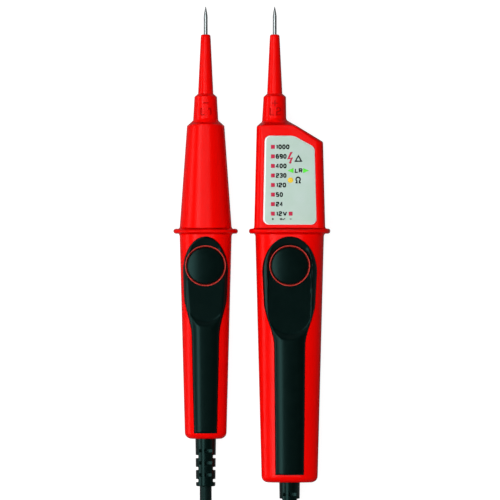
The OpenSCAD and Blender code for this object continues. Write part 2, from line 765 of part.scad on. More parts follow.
// Push button: a domed cap with a flange under the ring and a stem down to the switch
dome_steps = 5;
pocket_r = 7.4;
pocket_h = 9.1;
stem_r = 1.6;
switch_side = 6.2;
switch_h = 3.3;
plunger_r = 1.2;
plunger_len = 2.9;
stem_foot_h = board_top_h + switch_h + button_travel + gap;
dome_r = (button_r * button_r + button_dome * button_dome) / (2 * button_dome);
dome_angle = asin(button_r / dome_r);
module push_button(d) {
    color(black) place(d) translate([0, -button_y, 0]) rotate_extrude() polygon(concat(
        [[0, stem_foot_h], [stem_r, stem_foot_h], [stem_r, pocket_h], [pocket_r, pocket_h],
            [pocket_r, cap_foot_h], [button_r + cap_flange, cap_foot_h],
            [button_r + cap_flange, cap_foot_h + cap_flange_t], [button_r, cap_foot_h + cap_flange_t]],
        [for (i = [dome_steps:-1:0]) let (t = dome_angle * i / dome_steps)
            [dome_r * sin(t), cap_rim_h + button_dome - dome_r * (1 - cos(t))]]
    ));
}
module display_push_button() { push_button(DISPLAY); }
module plain_push_button() { push_button(PLAIN); }

module button_ring(d) {
    color("#a8322c") place(d) translate([0, -button_y, ring_foot_h]) difference() {
        cylinder(h = seat_h + ring_proud - ring_foot_h, r = ring_r);
        translate([0, 0, -over]) cylinder(h = axis_z, r = ring_r - ring_wall);
    }
}
module display_button_ring() { button_ring(DISPLAY); }
module plain_button_ring() { button_ring(PLAIN); }

// A tube swept along points, its rings square to them
function tangent(path, i) = unit(path[min(i + 1, len(path) - 1)] - path[max(i - 1, 0)]);
function ring_at(path, i, r, sides) = let (t = tangent(path, i), side = unit(cross(t, [0, 0, 1])),
    rise = cross(side, t)) [for (k = [0:sides - 1]) let (a = 360 * (k + 0.5) / sides)
    path[i] + r * cos(a) * side + r * sin(a) * rise];
module tube(path, r, sides) {
    skin([for (i = [0:len(path) - 1]) ring_at(path, i, r, sides)]);
}

// Button spring between the board and the cap
spring_r = 5.2;
spring_wire_r = 0.35;
spring_turns = 5;
spring_end_turns = 0.5;
spring_rings = 8;
wire_sides = 6;
module button_spring(d) {
    low = board_top_h + spring_wire_r;
    high = pocket_h - spring_wire_r;
    count = spring_turns * spring_rings;
    color("#9aa0a2") place(d) translate([0, -button_y, 0]) tube([for (i = [0:count])
        let (turn = i / spring_rings, t = 360 * turn,
            share = (turn - spring_end_turns) / (spring_turns - 2 * spring_end_turns),
            rise = min(max(share, 0), 1))
        [spring_r * cos(t), spring_r * sin(t), mix(low, high, rise)]], spring_wire_r, wire_sides);
}
module display_button_spring() { button_spring(DISPLAY); }
module plain_button_spring() { button_spring(PLAIN); }

module push_switch(d) {
    color("#2b2d2f") place(d) translate([0, -button_y, board_top_h]) difference() {
        translate([-switch_side / 2, -switch_side / 2, 0]) cube([switch_side, switch_side, switch_h]);
        translate([0, 0, gap]) cylinder(h = switch_h, r = plunger_r + fit);
    }
}
module display_switch() { push_switch(DISPLAY); }
module plain_switch() { push_switch(PLAIN); }
module switch_plunger(d) {
    color("#c9b98a") place(d) translate([0, -button_y, stem_foot_h - plunger_len])
        cylinder(h = plunger_len, r = plunger_r);
}
module display_switch_plunger() { switch_plunger(DISPLAY); }
module plain_switch_plunger() { switch_plunger(PLAIN); }

// Circuit boards, cut away round the screw bosses
module display_board_shape() {
    half = hollow_half(DISPLAY, -display_board_foot) - board_gap;
    head = head_top_w / 2 - wall - board_gap;
    polygon([[-half, -display_board_foot], [half, -display_board_foot], [half, 0], [head, collar_t],
        [head, head_corner_y - 2 * wall], [slope_x(display_board_top + 2 * wall) - board_gap,
            display_board_top], [-head, display_board_top], [-head, collar_t], [-half, 0]]);
}
module plain_board_shape() {
    half = hollow_half(PLAIN, -plain_board_foot) - 2 * board_gap;
    top = plain_shoulder_w / 2 - wall - board_gap / 2;
    polygon([[-half, -plain_board_foot], [half, -plain_board_foot], [half, 0], [top, plain_board_top],
        [-top, plain_board_top], [-half, 0]]);
}
module board(d) {
    color("#2f6b3c") place(d) translate([0, 0, board_under_h]) linear_extrude(board_t) difference() {
        if (d == DISPLAY) display_board_shape();
        else plain_board_shape();
        for (p = screw_places(d)) translate(p) circle(boss_r + gap);
    }
}
module display_circuit_board() { board(DISPLAY); }
module plain_circuit_board() { board(PLAIN); }

// Parts that stand on the boards
module box_on_board(p, size, under) {
    translate([p[0] - size[0] / 2, p[1] - size[1] / 2, under ? board_under_h - size[2] : board_top_h])
        cube(size);
}
module bar_on_board(p, r, length, under) {
    translate([p[0], p[1] - length / 2, under ? board_under_h - r : board_top_h + r])
        rotate([-90, 0, 0]) cylinder(h = length, r = r);
}
chip_sizes = [[9, 9, 1.4], [6, 5, 1.6], [6, 5, 1.6]];
chip_places = [[1.5, 22], [-3, 36], [2, 6]];
module board_chips() {
    color("#1c1d1f") place(DISPLAY) for (i = [0:len(chip_sizes) - 1])
        box_on_board(chip_places[i], chip_sizes[i], true);
}
resistor_r = 1.4;
resistor_len = 7;
resistor_foot_gap = 19.6;
resistor_pitch = 5.4;
resistor_count = 4;
module input_resistors() {
    color("#c8b48c") place(DISPLAY) for (i = [0:resistor_count - 1])
        bar_on_board([(i - (resistor_count - 1) / 2) * resistor_pitch,
            resistor_foot_gap - display_board_foot], resistor_r, resistor_len, true);
}
load_r = 2.6;
load_len = 11;
load_x = 3.6;
load_ys = [21, 6.5];
module load_resistors() {
    color("#d8d3c4") place(PLAIN) for (y = load_ys) for (x = [-load_x, load_x])
        bar_on_board([x, y], load_r, load_len, false);
}
sounder_r = 5.6;
sounder_h = 3.6;
sounder_foot_gap = 8.8;
sounder_hole_r = 1;
module sounder() {
    color("#17181a") place(DISPLAY)
        translate([0, sounder_foot_gap - display_board_foot, board_under_h - sounder_h]) difference() {
            cylinder(h = sounder_h, r = sounder_r);
            translate([0, 0, -sounder_h / 2]) cylinder(h = sounder_h, r = sounder_hole_r);
        }
}
module light_diodes() {
    color("#f0ead8") place(DISPLAY) for (p = lamp_places)
        box_on_board(p, [diode_side, diode_side, diode_h], false);
}
module light_shaft_block() {
    color("#e9e9e4") place(DISPLAY) translate([0, 0, board_top_h])
        linear_extrude(head_front_h - plate_t - board_top_h - gap / 2) difference() {
            block_shape(gap);
            for (p = lamp_places) square_at(p, diode_side + 2 * shaft_room);
        }
}

// Scale plate and its windows
module scale_plate() {
    color("#bccdc5") place(DISPLAY) translate([0, 0, head_front_h - plate_t]) linear_extrude(plate_t)
        difference() {
            plate_shape(fit);
            window_shapes(fit);
        }
}
module window_slab() {
    place(DISPLAY) translate([0, 0, head_front_h - plate_t]) linear_extrude(plate_t + window_proud)
        children();
}
module scale_windows() {
    color("#c81e3c") window_slab() for (p = scale_places) square_at(p, window_side);
}
module arrow_windows() {
    color("#4fd23a") window_slab() {
        translate([sign_x, arrow_y]) arrow_shape(-1, 0);
        translate([arrow_x, arrow_y]) arrow_shape(1, 0);
    }
}
module dot_window() {
    color("#f5c52a") window_slab() translate([sign_x, dot_y]) circle(dot_d / 2);
}
module bolt_window() {
    color("#e01b24") window_slab() translate([sign_x, bolt_y]) bolt_shape(0);
}

// Battery bay: holder above the cells, contacts at its ends, cover in the back shell
module battery_holder() {
    length = holder_foot_y - holder_top_y + 2 * holder_t;
    color("#26282a") place(DISPLAY) {
        translate([-holder_half, -holder_foot_y - holder_t, holder_floor_h])
            cube([2 * holder_half, length, holder_t]);
        for (y = [holder_top_y - holder_t, holder_foot_y])
            translate([-holder_half, -y - holder_t, -holder_wall_foot])
                cube([2 * holder_half, holder_t, holder_wall_foot + holder_floor_h + holder_t / 2]);
        for (y = [holder_top_y + peg_inset, holder_foot_y - peg_inset])
            translate([0, -y, holder_floor_h])
                cylinder(h = hollow_front(DISPLAY, -y) - holder_floor_h - gap, r = peg_r);
    }
}
module cell() {
    cylinder(h = cell_len - nub_len, r = cell_r);
    cylinder(h = cell_len, r = nub_r);
}
module battery_cells() {
    color("#3d6fa5") place(DISPLAY) {
        translate([-cell_x, -cell_top_y, cell_h]) rotate([90, 0, 0]) cell();
        translate([cell_x, -cell_top_y - cell_len, cell_h]) rotate([-90, 0, 0]) cell();
    }
}
module battery_contacts() {
    color("#c9ccce") place(DISPLAY) for (side = [-1, 1])
        for (y = [holder_top_y + contact_t, holder_foot_y])
            translate([side * cell_x - contact_half, -y, -holder_wall_foot])
                cube([2 * contact_half, contact_t, contact_h]);
}
module battery_cover() {
    color(red) place(DISPLAY) difference() {
        union() {
            difference() {
                intersection() {
                    outer_half(DISPLAY, false);
                    cover_prism(gap);
                }
                hollow_half_body(DISPLAY, false);
            }
            translate([0, -cover_screw_y, -cover_head_h + cover_head_t - over / 2])
                cylinder(h = cover_head_h - cover_head_t + over / 2 - cover_pad_h, r = cover_pad_r - gap);
        }
        translate([0, -cover_screw_y, -axis_z - over]) {
            cylinder(h = axis_z, r = cover_screw_r + gap);
            cylinder(h = axis_z + over - cover_head_h + cover_head_t, r = cover_head_r + gap);
        }
    }
}
module battery_cover_screw() {
    color("#8c9092") place(DISPLAY) translate([0, -cover_screw_y, -cover_head_h + cover_head_t])
        cross_screw(cover_screw_r, cover_head_r, cover_head_t, cover_screw_len);
}

// Strain reliefs: notched boots moulded on the lead, held by a neck in the end wall
relief_core_r = 3.7;
notch_w = 1.5;
side_notches = [9.1, 15.1, 21.2];
face_notches = [6, 12.1, 18.2];
module notch_pair(y, turned) {
    rotate([0, turned ? 90 : 0, 0]) for (side = [-1, 1])
        translate([side * (relief_core_r + relief_d / 2) - relief_d / 2, -y - notch_w / 2, -relief_d])
            cube([relief_d, notch_w, 2 * relief_d]);
}
module strain_relief(d) {
    color(black) place(d) translate([0, -body_len(d), 0]) difference() {
        union() {
            rotate([90, 0, 0]) cylinder(h = relief_len, r1 = relief_d / 2, r2 = relief_end_d / 2);
            rotate([-90, 0, 0]) cylinder(h = end_wall + relief_flange_t, r = relief_neck_r);
            translate([0, end_wall, 0]) rotate([-90, 0, 0])
                cylinder(h = relief_flange_t, r = relief_flange_r);
        }
        for (y = side_notches) notch_pair(y, false);
        for (y = face_notches) notch_pair(y, true);
    }
}
module display_strain_relief() { strain_relief(DISPLAY); }
module plain_strain_relief() { strain_relief(PLAIN); }

// Inner leads from the strain relief to the board: [x, distance from the tail end, height]
lead_r = 0.7;
display_lead_route = [[2.2, 5, 0], [2.2, 6, 0], [2.9, 7.7, 0.2], [3.8, 9.5, 0.7], [4.4, 11.3, 1.5],
    [4.5, 13.1, 2.5], [4.5, 14.9, 3.4], [4.5, 17.2, 3.75], [4.5, 26.7, 3.75], [4.5, 41.7, 3.75],
    [4.5, 60.7, 3.75], [4.6, 66.7, 3.75], [4.8, 69.7, 3], [5, 72.7, 1.9], [5, 76.7, 1.65]];
plain_lead_route = [[2.2, 5, 0], [2.2, 5.8, 0], [3.2, 6.7, 0], [4.5, 8.1, 0], [5.7, 10.4, 0],
    [6.5, 13.7, 0], [7, 16.7, 0], [7, 24.7, 0], [7, 34.7, 0], [6.9, 38.7, 0.5], [6.4, 41.7, 1.3],
    [5.7, 44.2, 1.8], [5, 48.7, 1.7]];
module inner_leads(d) {
    route = d == DISPLAY ? display_lead_route : plain_lead_route;
    color("#6e4a2a") place(d) for (side = [-1, 1])
        tube([for (p = route) [side * p[0], p[1] - body_len(d), p[2]]], lead_r, cord_sides);
}
module display_inner_leads() { inner_leads(DISPLAY); }
module plain_inner_leads() { inner_leads(PLAIN); }

// Vibration motor with an eccentric weight on its shaft
module vibration_motor() {
    color("#a9adaf") place(PLAIN) translate([0, -motor_y, 0]) rotate([90, 0, 0]) difference() {
        cylinder(h = motor_len, r = motor_r);
        translate([0, 0, motor_len - shaft_grip - gap]) cylinder(h = motor_len, r = shaft_r + fit);
    }
}
module motor_shaft() {
    color("#d0d3d4") place(PLAIN) translate([0, -motor_y - motor_len + shaft_grip, 0]) rotate([90, 0, 0])
        cylinder(h = shaft_len, r = shaft_r);
}
module motor_weight() {
    color("#77746a") place(PLAIN) translate([0, -motor_y - motor_len - weight_gap + gap, 0])
        rotate([90, 0, 0]) difference() {
            cylinder(h = weight_len - gap, r = weight_r);
            translate([0, 0, -over]) cylinder(h = weight_len + 2 * over, r = shaft_r);
            translate([-weight_r - over, weight_flat, -over])
                cube([2 * (weight_r + over), weight_r, weight_len + 2 * over]);
        }
}

// The lead: a flat coil of two layers between the two runs, held by a tie
coil_centre = [-2.1, -192];
coil_turns = 2;
climb_turns = 0.5;
top_turn = 0.75;
loop_rings = 24;
coil_gap = 0.5;
coil_r = 39.5;
tie_t = 0.6;
pitch = cord_d + coil_gap;
low_h = cord_d / 2 + tie_t + fit;
layer_h = pitch + gap / 2;

// The loops run in for coil_turns, climb a layer in climb_turns and run out again
all_turns = 2 * coil_turns + climb_turns;
function coil_r_at(turn) = coil_r - pitch * min(turn, all_turns - turn);
function coil_h_at(turn) = low_h + layer_h * smooth(min(max((turn - coil_turns) / climb_turns, 0), 1));
function coil_at(turn) = [coil_centre[0] - coil_r_at(turn) * cos(360 * turn),
    coil_centre[1] - coil_r_at(turn) * sin(360 * turn), coil_h_at(turn)];
coil_count = all_turns * loop_rings;
coil_start = coil_at(0) + [0, cord_d, 0];
coil_end = coil_at(all_turns) + [0, cord_d, 0];
coil_path = concat([coil_start], [for (i = [0:coil_count]) coil_at(i / loop_rings)], [coil_end]);
least_gap = min([for (i = [0:coil_count]) for (j = [i + loop_rings / 2:coil_count])
    norm(coil_at(i / loop_rings) - coil_at(j / loop_rings)) - cord_d]);
echo(str("Least gap of the coil to itself: ", least_gap, " mm"));

// Runs from the strain reliefs to the coil's ends: [x, y, height]
plain_end = [handle_x[PLAIN], collar_y - plain_len - relief_len, axis_z];
display_end = [handle_x[DISPLAY], collar_y - display_len - relief_len, axis_z];
plain_route = concat([plain_end], [[-23.3, -114, 12], [-23.3, -118, 11.9], [-23.6, -123.5, 11.4],
    [-24.3, -128.5, 10.5], [-25.6, -134, 9.2], [-27.4, -138.5, 7.9], [-29.8, -143.5, 6.5],
    [-32.5, -148, 5.4], [-35.2, -152.5, 4.6], [-37.5, -157.5, 4.1], [-39.3, -162.5, 3.8],
    [-40.6, -167.5, 3.7], [-41.3, -173, 3.65], [-41.6, -180, 3.65]], [coil_start]);
display_route = concat([display_end], [[19.1, -138, 12], [19.4, -143, 11.9], [20.6, -147.5, 11.7],
    [22.5, -151.5, 11.4], [25, -155.5, 11.1], [28.2, -159, 10.8], [31.4, -162.5, 10.5],
    [34, -166.5, 10.4], [35.9, -171, 10.3], [37, -175.5, 10.3], [37.4, -181, 10.3]], [coil_end]);
cord_sides = 8;
coil_sides = 6;
module lead_plain_run() { color(black) tube(plain_route, cord_d / 2, cord_sides); }
module lead_display_run() { color(black) tube(display_route, cord_d / 2, cord_sides); }
module lead_coil() { color(black) tube(coil_path, cord_d / 2, coil_sides); }

// Tie round both layers, at the side of the coil that faces the handles
tie_len = 8;
tie_round = 2;
tie_in = coil_r_at(coil_turns - 1 + top_turn) - cord_d / 2 - 2 * coil_gap;
tie_out = coil_r_at(top_turn) + cord_d / 2 + coil_gap;
tie_h = low_h + layer_h + cord_d / 2 + gap;
module round_box(x0, y0, x1, y1, r) {
    translate([x0 + r, y0]) square([x1 - x0 - 2 * r, y1 - y0]);
    translate([x0, y0 + r]) square([x1 - x0, y1 - y0 - 2 * r]);
    for (x = [x0 + r, x1 - r]) for (y = [y0 + r, y1 - r]) translate([x, y]) circle(r);
}
module lead_tie() {
    color("#3a3f42") translate([coil_centre[0] - tie_len / 2, coil_centre[1], 0]) rotate([90, 0, 90])
        linear_extrude(tie_len) difference() {
            round_box(tie_in - tie_t, 0, tie_out + tie_t, tie_h + tie_t, tie_round + tie_t);
            round_box(tie_in, tie_t, tie_out, tie_h, tie_round);
        }
}

display_front_shell();
display_back_shell();
display_nose_sleeve();
display_contact_probe();
display_grip_pad();
display_push_button();
display_button_ring();
display_button_spring();
display_switch();
display_switch_plunger();
display_circuit_board();
display_housing_screws();
display_strain_relief();
display_inner_leads();
scale_plate();
scale_windows();
arrow_windows();
dot_window();
bolt_window();
light_shaft_block();
light_diodes();
board_chips();
input_resistors();
sounder();
battery_holder();
battery_cells();
battery_contacts();
battery_cover();
battery_cover_screw();
plain_front_shell();
plain_back_shell();
plain_nose_sleeve();
plain_contact_probe();
plain_grip_pad();
plain_push_button();
plain_button_ring();
plain_button_spring();
plain_switch();
plain_switch_plunger();
plain_circuit_board();
plain_housing_screws();
plain_strain_relief();
plain_inner_leads();
load_resistors();
vibration_motor();
motor_shaft();
motor_weight();
lead_plain_run();
lead_coil();
lead_display_run();
lead_tie();
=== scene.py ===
# %% [markdown]
# # A two-pole voltage tester
#
# Two moulded handles lie side by side on a white table, joined by one lead. The packed
# CAD model is the fixed frame: it says where each part is and how it moves. This
# notebook dresses that frame. It gives each visible part a finer mesh and each surface
# the finish that the real one has.

import json
import math

import bmesh
import bpy
import numpy as np
from mathutils import Matrix, Vector


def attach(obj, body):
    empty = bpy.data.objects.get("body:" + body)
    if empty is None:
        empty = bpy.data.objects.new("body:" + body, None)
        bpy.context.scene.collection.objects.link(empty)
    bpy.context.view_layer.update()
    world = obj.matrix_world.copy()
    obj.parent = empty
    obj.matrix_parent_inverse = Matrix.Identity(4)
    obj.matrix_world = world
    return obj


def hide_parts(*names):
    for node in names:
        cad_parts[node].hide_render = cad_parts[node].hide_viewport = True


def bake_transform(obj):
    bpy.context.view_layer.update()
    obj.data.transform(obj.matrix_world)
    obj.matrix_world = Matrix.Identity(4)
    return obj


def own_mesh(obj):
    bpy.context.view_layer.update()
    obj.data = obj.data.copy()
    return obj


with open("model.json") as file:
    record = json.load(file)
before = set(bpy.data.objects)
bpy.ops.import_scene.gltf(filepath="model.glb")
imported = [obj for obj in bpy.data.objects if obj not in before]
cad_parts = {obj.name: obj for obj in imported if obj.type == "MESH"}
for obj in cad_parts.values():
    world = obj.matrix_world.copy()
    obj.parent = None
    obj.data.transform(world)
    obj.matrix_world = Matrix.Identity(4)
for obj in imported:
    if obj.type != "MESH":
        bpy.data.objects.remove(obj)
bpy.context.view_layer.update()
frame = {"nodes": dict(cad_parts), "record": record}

# %% [markdown]
# ## The camera
#
# The photograph looks straight down on the pair, from so far off that the sides of the
# handles don't show. A long lens high above the table gives that view. A real camera
# lens of 300 mm is kept rather than an orthographic view, because the reliefs and
# collars then keep the slight depth that a photograph has.

# %% Put the camera over the table
MM = 0.001
VIEW_CENTRE = (-0.93, 9.1)
AXIS_HIGH = 12.0
CAMERA_RISE = 2104.0


def show(name, data):
    """A new object in the scene that holds the data."""
    item = bpy.data.objects.new(name, data)
    bpy.context.scene.collection.objects.link(item)
    return item


lens = bpy.data.cameras.new("portrait_lens")
lens.lens = 300
lens.sensor_width = 36
lens.clip_end = 100
camera = show("portrait_camera", lens)
camera.location = (VIEW_CENTRE[0] * MM, VIEW_CENTRE[1] * MM, (AXIS_HIGH + CAMERA_RISE) * MM)
bpy.context.scene.camera = camera
print("View at the handles' axis, mm:", round(CAMERA_RISE * lens.sensor_width / lens.lens, 1))

# %% [markdown]
# ## Meshes from rings
#
# Nearly every part here is a run of closed rings with a skin between them: the housing,
# the rubber pads, the boots on the lead and the lead itself. Such parts could be made
# by subdividing a block, but their lines are known to the tenth of a millimetre, so it
# is surer to work out each ring and let one small function sew them together. Points
# are in millimetres, from the middle of a handle's collar.

# %% Sew rings into a closed skin
HANDLE_X = {"plain": -23.3, "display": 19.05}
NOSE_X = {"plain": 0.0, "display": -7.5}
COLLAR_Y = 18.6
NEAR = 1e-7


def mesh_piece(name, points, faces, handle=None):
    """A clean mesh from points in mm, placed on a handle or as they are."""
    shift = (HANDLE_X[handle], COLLAR_Y, AXIS_HIGH) if handle else (0, 0, 0)
    places = (np.asarray(points, float) + shift) * MM
    mesh = bpy.data.meshes.new(name)
    mesh.from_pydata(places.tolist(), [], faces)
    body = bmesh.new()
    body.from_mesh(mesh)
    bmesh.ops.remove_doubles(body, verts=body.verts, dist=NEAR)
    bmesh.ops.dissolve_degenerate(body, edges=body.edges, dist=NEAR)
    bmesh.ops.recalc_face_normals(body, faces=body.faces)
    body.to_mesh(mesh)
    body.free()
    return show(name, mesh)


def sewn(name, rings, handle=None, looped=False):
    """A skin over rings of the same count, closed at both ends or looped."""
    rings = np.asarray(rings, float)
    count, size = rings.shape[:2]
    faces = []
    for r in range(count if looped else count - 1):
        above = (r + 1) % count
        for i in range(size):
            j = (i + 1) % size
            faces.append((r * size + i, above * size + i, above * size + j, r * size + j))
    if not looped:
        faces.append(tuple(range(size)))
        faces.append(tuple(range((count - 1) * size, count * size)))
    return mesh_piece(name, rings.reshape(-1, 3), faces, handle)


# %% Turned and flat shapes
def round_turn(steps):
    """Angles once round, in even steps."""
    return np.linspace(0, 2 * math.pi, steps, endpoint=False)


def turned(name, profile, handle, centre, along="z", steps=64):
    """Spins (radius, place) points about a line through centre, along z or y."""
    turn = round_turn(steps)
    rings = []
    for radius, place in profile:
        x, other = radius * np.cos(turn), radius * np.sin(turn)
        flat = np.full(steps, float(place))
        ring = (x, other, flat) if along == "z" else (x, flat, -other)
        rings.append(np.stack(ring, 1) + centre)
    return sewn(name, rings, handle, looped=True)


def prism(name, outline, low, high, handle):
    rings = [[(x, y, z) for x, y in outline] for z in (low, high)]
    return sewn(name, rings, handle)


def block(name, low, high, handle):
    x0, y0, z0 = low
    x1, y1, z1 = high
    return prism(name, [(x0, y0), (x1, y0), (x1, y1), (x0, y1)], z0, z1, handle)


# %% [markdown]
# ## Holes and pockets
#
# The housing has a pocket for the pad, a bore for the button and counterbores for the
# screws. They could be left as gaps between the rings, but a boolean with the Manifold
# solver cuts them as a mill would, and keeps the walls thick and the mesh closed. The
# tool meshes are thrown away after the cut.

# %% Cut one mesh out of another
def carve(piece, tools):
    """Cuts the tools out of the piece, one after the other."""
    for tool in tools:
        cut = piece.modifiers.new("cut", "BOOLEAN")
        cut.operation = "DIFFERENCE"
        cut.solver = "MANIFOLD"
        cut.object = tool
    shapes = bpy.context.evaluated_depsgraph_get()
    made = bpy.data.meshes.new_from_object(piece.evaluated_get(shapes))
    piece.modifiers.clear()
    old = piece.data
    piece.data = made
    bpy.data.meshes.remove(old)
    for tool in tools:
        bpy.data.objects.remove(tool)
    return piece


def joined(name, parts):
    """One mesh from several, each in its place."""
    body = bmesh.new()
    for part in parts:
        body.from_mesh(part.data)
    mesh = bpy.data.meshes.new(name)
    body.to_mesh(mesh)
    body.free()
    for part in parts:
        bpy.data.objects.remove(part)
    return show(name, mesh)


def dress(piece, material, slot, body, replaces=(), crease=34):
    """Smooth the faces, keep the creases, give the finish and say what it rides on."""
    mesh = piece.data
    mesh.materials.clear()
    mesh.materials.append(material)
    mesh.polygons.foreach_set("use_smooth", [True] * len(mesh.polygons))
    mesh.polygons.foreach_set("material_index", [0] * len(mesh.polygons))
    mesh.set_sharp_from_angle(angle=math.radians(crease))
    if body:
        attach(piece, body)
    if replaces:
        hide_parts(*replaces)
    print(f"{piece.name}: {len(mesh.vertices)} points, {len(mesh.polygons)} faces")
    return piece


# %% [markdown]
# ## Small words for materials
#
# Colours are noted as the sRGB hex value that the eye sees and turned to linear light
# once. One function adds a node with its settings and links. A material starts as one
# Principled shader whose plain numbers sit on its own sockets. Most finishes here are
# then three noises: one in the tint, one in the gloss and a finer one in the relief.

# %% Colour and node helpers
def linear(code):
    shares = [int(code[i:i + 2], 16) / 255 for i in (1, 3, 5)]
    return [s / 12.92 if s <= 0.04045 else ((s + 0.055) / 1.055) ** 2.4 for s in shares] + [1]


def put(tree, kind, settings=(), links=()):
    node = tree.nodes.new(kind)
    for key, value in dict(settings).items():
        if isinstance(key, int) or key in node.inputs:
            node.inputs[key].default_value = value
        else:
            setattr(node, key, value)
    for key, source in dict(links).items():
        tree.links.new(source, node.inputs[key])
    return node


def new_finish(name, settings):
    material = bpy.data.materials.new(name)
    material.use_nodes = True
    tree = material.node_tree
    tree.nodes.clear()
    shader = put(tree, "ShaderNodeBsdfPrincipled", settings)
    put(tree, "ShaderNodeOutputMaterial", {}, {"Surface": shader.outputs["BSDF"]})
    place = put(tree, "ShaderNodeTexCoord").outputs["Object"]
    return material, tree, shader, place


def tint(tree, shader, source, dark, light, low=0.3, high=0.7):
    """Colour that drifts between two hex values as the source goes from low to high."""
    ramp = put(tree, "ShaderNodeValToRGB", {}, {"Fac": source})
    ramp.color_ramp.elements[0].position = low
    ramp.color_ramp.elements[0].color = linear(dark)
    ramp.color_ramp.elements[1].position = high
    ramp.color_ramp.elements[1].color = linear(light)
    tree.links.new(ramp.outputs["Color"], shader.inputs["Base Color"])


def texture(tree, place, size_mm, detail=3, stretch=(1, 1, 1)):
    """Noise whose lumps are about size_mm across."""
    spread = put(tree, "ShaderNodeMapping", {"Scale": stretch}, {"Vector": place})
    noise = put(tree, "ShaderNodeTexNoise", {"Scale": 1 / (size_mm * MM), "Detail": detail},
                {"Vector": spread.outputs["Vector"]})
    return noise.outputs["Fac"]


def relief(tree, shader, source, depth_mm, strength):
    bump = put(tree, "ShaderNodeBump", {"Strength": strength, "Distance": depth_mm * MM},
               {"Height": source})
    tree.links.new(bump.outputs["Normal"], shader.inputs["Normal"])


def vary_roughness(tree, shader, source, low, high):
    span = put(tree, "ShaderNodeMapRange", {"To Min": low, "To Max": high}, {"Value": source})
    tree.links.new(span.outputs["Result"], shader.inputs["Roughness"])


def finish(name, settings, drift, shades, gloss=None, grain=None):
    """A finish of noises. The tint drifts between two shades over drift mm. Gloss is
    (mm, lowest and highest roughness, detail), grain is (mm, depth in mm, strength)."""
    material, tree, shader, place = new_finish(name, settings)
    tint(tree, shader, texture(tree, place, drift), *shades)
    if gloss:
        size, low, high, detail = gloss
        vary_roughness(tree, shader, texture(tree, place, size, detail), low, high)
    if grain:
        size, depth, strength = grain
        relief(tree, shader, texture(tree, place, size, 2), depth, strength)
    return material


# %% [markdown]
# ## Red ABS, injection moulded
#
# The housing is glossy acrylonitrile butadiene styrene from a polished mould. To the
# eye it is a deep even red with one long soft streak of light, and the streak wavers a
# little where the plastic shrank as it cooled. A broad, very shallow noise gives that
# waver, a finer one varies the gloss where fingers have rubbed it.

# %% Make the red ABS
ABS_IOR = 1.54
red_abs = finish(
    "red_abs_moulded", {"IOR": ABS_IOR, "Roughness": 0.23, "Specular IOR Level": 0.095},
    drift=9, shades=("#eb0401", "#ef0602"), gloss=(2.2, 0.2, 0.27, 4), grain=(5, 0.02, 0.25))
print("Made", red_abs.name, "with", len(red_abs.node_tree.nodes), "nodes")

# %% [markdown]
# ## Black thermoplastic elastomer, overmoulded
#
# The grip pads, buttons, boots and lead are soft rubber with a satin skin. Its mould
# was eroded by sparks, which leaves a grain of about 0.15 mm. At this view the grain is
# too fine to see one by one, so it is drawn at 0.35 mm, where it breaks up the
# highlight as the real one does. The black has a cool green cast in the light.

# %% Make the rubbers
RUBBER = {"IOR": 1.5, "Specular Tint": linear("#a8fbf4")}
pad_rubber = finish(
    "black_tpe_overmoulded", RUBBER | {"Roughness": 0.29, "Specular IOR Level": 0.37},
    drift=4, shades=("#020a09", "#040e0c"), gloss=(1.5, 0.26, 0.33, 3), grain=(0.35, 0.012, 0.35))
lead_rubber = finish(
    "black_jacket_extruded", RUBBER | {"Roughness": 0.45, "Specular IOR Level": 0.36},
    drift=5, shades=("#060e0d", "#0c1615"), gloss=(2.5, 0.4, 0.55, 3), grain=(0.5, 0.015, 0.3))
print("Made", pad_rubber.name, "and", lead_rubber.name)

# %% [markdown]
# ## Small plastics
#
# The ring round each button is a dull red polypropylene, which scatters light and so
# looks browner than the housing. The scale is a polycarbonate film, pale grey-green with
# a satin face. The real film is printed on its back. Here the ink lies on its face, so
# that the film needn't be clear. The indicator windows are coloured polycarbonate with a
# gloss over small lamps.

# %% Make the ring, the scale film and the inks
FILM_IOR = 1.58
ring_plastic = finish(
    "ring_polypropylene_moulded", {"IOR": 1.49, "Roughness": 0.45, "Specular IOR Level": 0.25},
    drift=2, shades=("#bd332b", "#cb3c33"), grain=(0.4, 0.01, 0.3))
scale_film = finish(
    "polycarbonate_film_printed", {"IOR": FILM_IOR, "Roughness": 0.34, "Specular IOR Level": 0.3},
    drift=7, shades=("#b2cabd", "#b9cdc5"), grain=(0.4, 0.006, 0.25))
black_ink = finish(
    "black_ink_printed", {"IOR": 1.5, "Roughness": 0.5, "Specular IOR Level": 0.08},
    drift=0.5, shades=("#010202", "#040605"))
# The rim of the film is painted near white: a painted highlight where its rolled edge meets the
# lamps.
film_rim_highlight = finish(
    "polycarbonate_edge_painted_highlight", {"IOR": FILM_IOR, "Roughness": 0.2},
    drift=2, shades=("#f2f6f4", "#fafcfb"))
# The raised signs are painted a darker red than the housing: painted shade for the sides of the
# relief.
relief_red_painted_shade = finish(
    "red_abs_in_relief_painted_shade", {"IOR": ABS_IOR, "Roughness": 0.5, "Specular IOR Level": 0.05},
    drift=0.8, shades=("#b40301", "#c00402"))
print("Made the finishes of ring, film, ink, film edge and raised signs")

# %% Make the coloured windows
windows = {}
for name, *shades in (("red", "#b9193f", "#c42347"), ("bolt", "#c01c44", "#ca294e"),
                      ("green", "#55e336", "#66ee42"), ("yellow", "#e8c01c", "#f4cb2c")):
    windows[name] = finish(
        f"{name}_polycarbonate_moulded",
        {"IOR": FILM_IOR, "Roughness": 0.22, "Specular IOR Level": 0.3},
        drift=1.6, shades=shades, grain=(0.5, 0.002, 0.1))
print("Windows:", sorted(windows))

# %% [markdown]
# ## Metals
#
# The contact pins are hardened steel, ground on centres, so the grinding marks run
# round them. Marks a few hundredths of a millimetre apart would vanish, so they are
# drawn 0.15 mm apart. The screws are zinc plated: a grey, slightly cloudy metal. A
# metal keeps the default IOR, because its colour comes from its base colour.

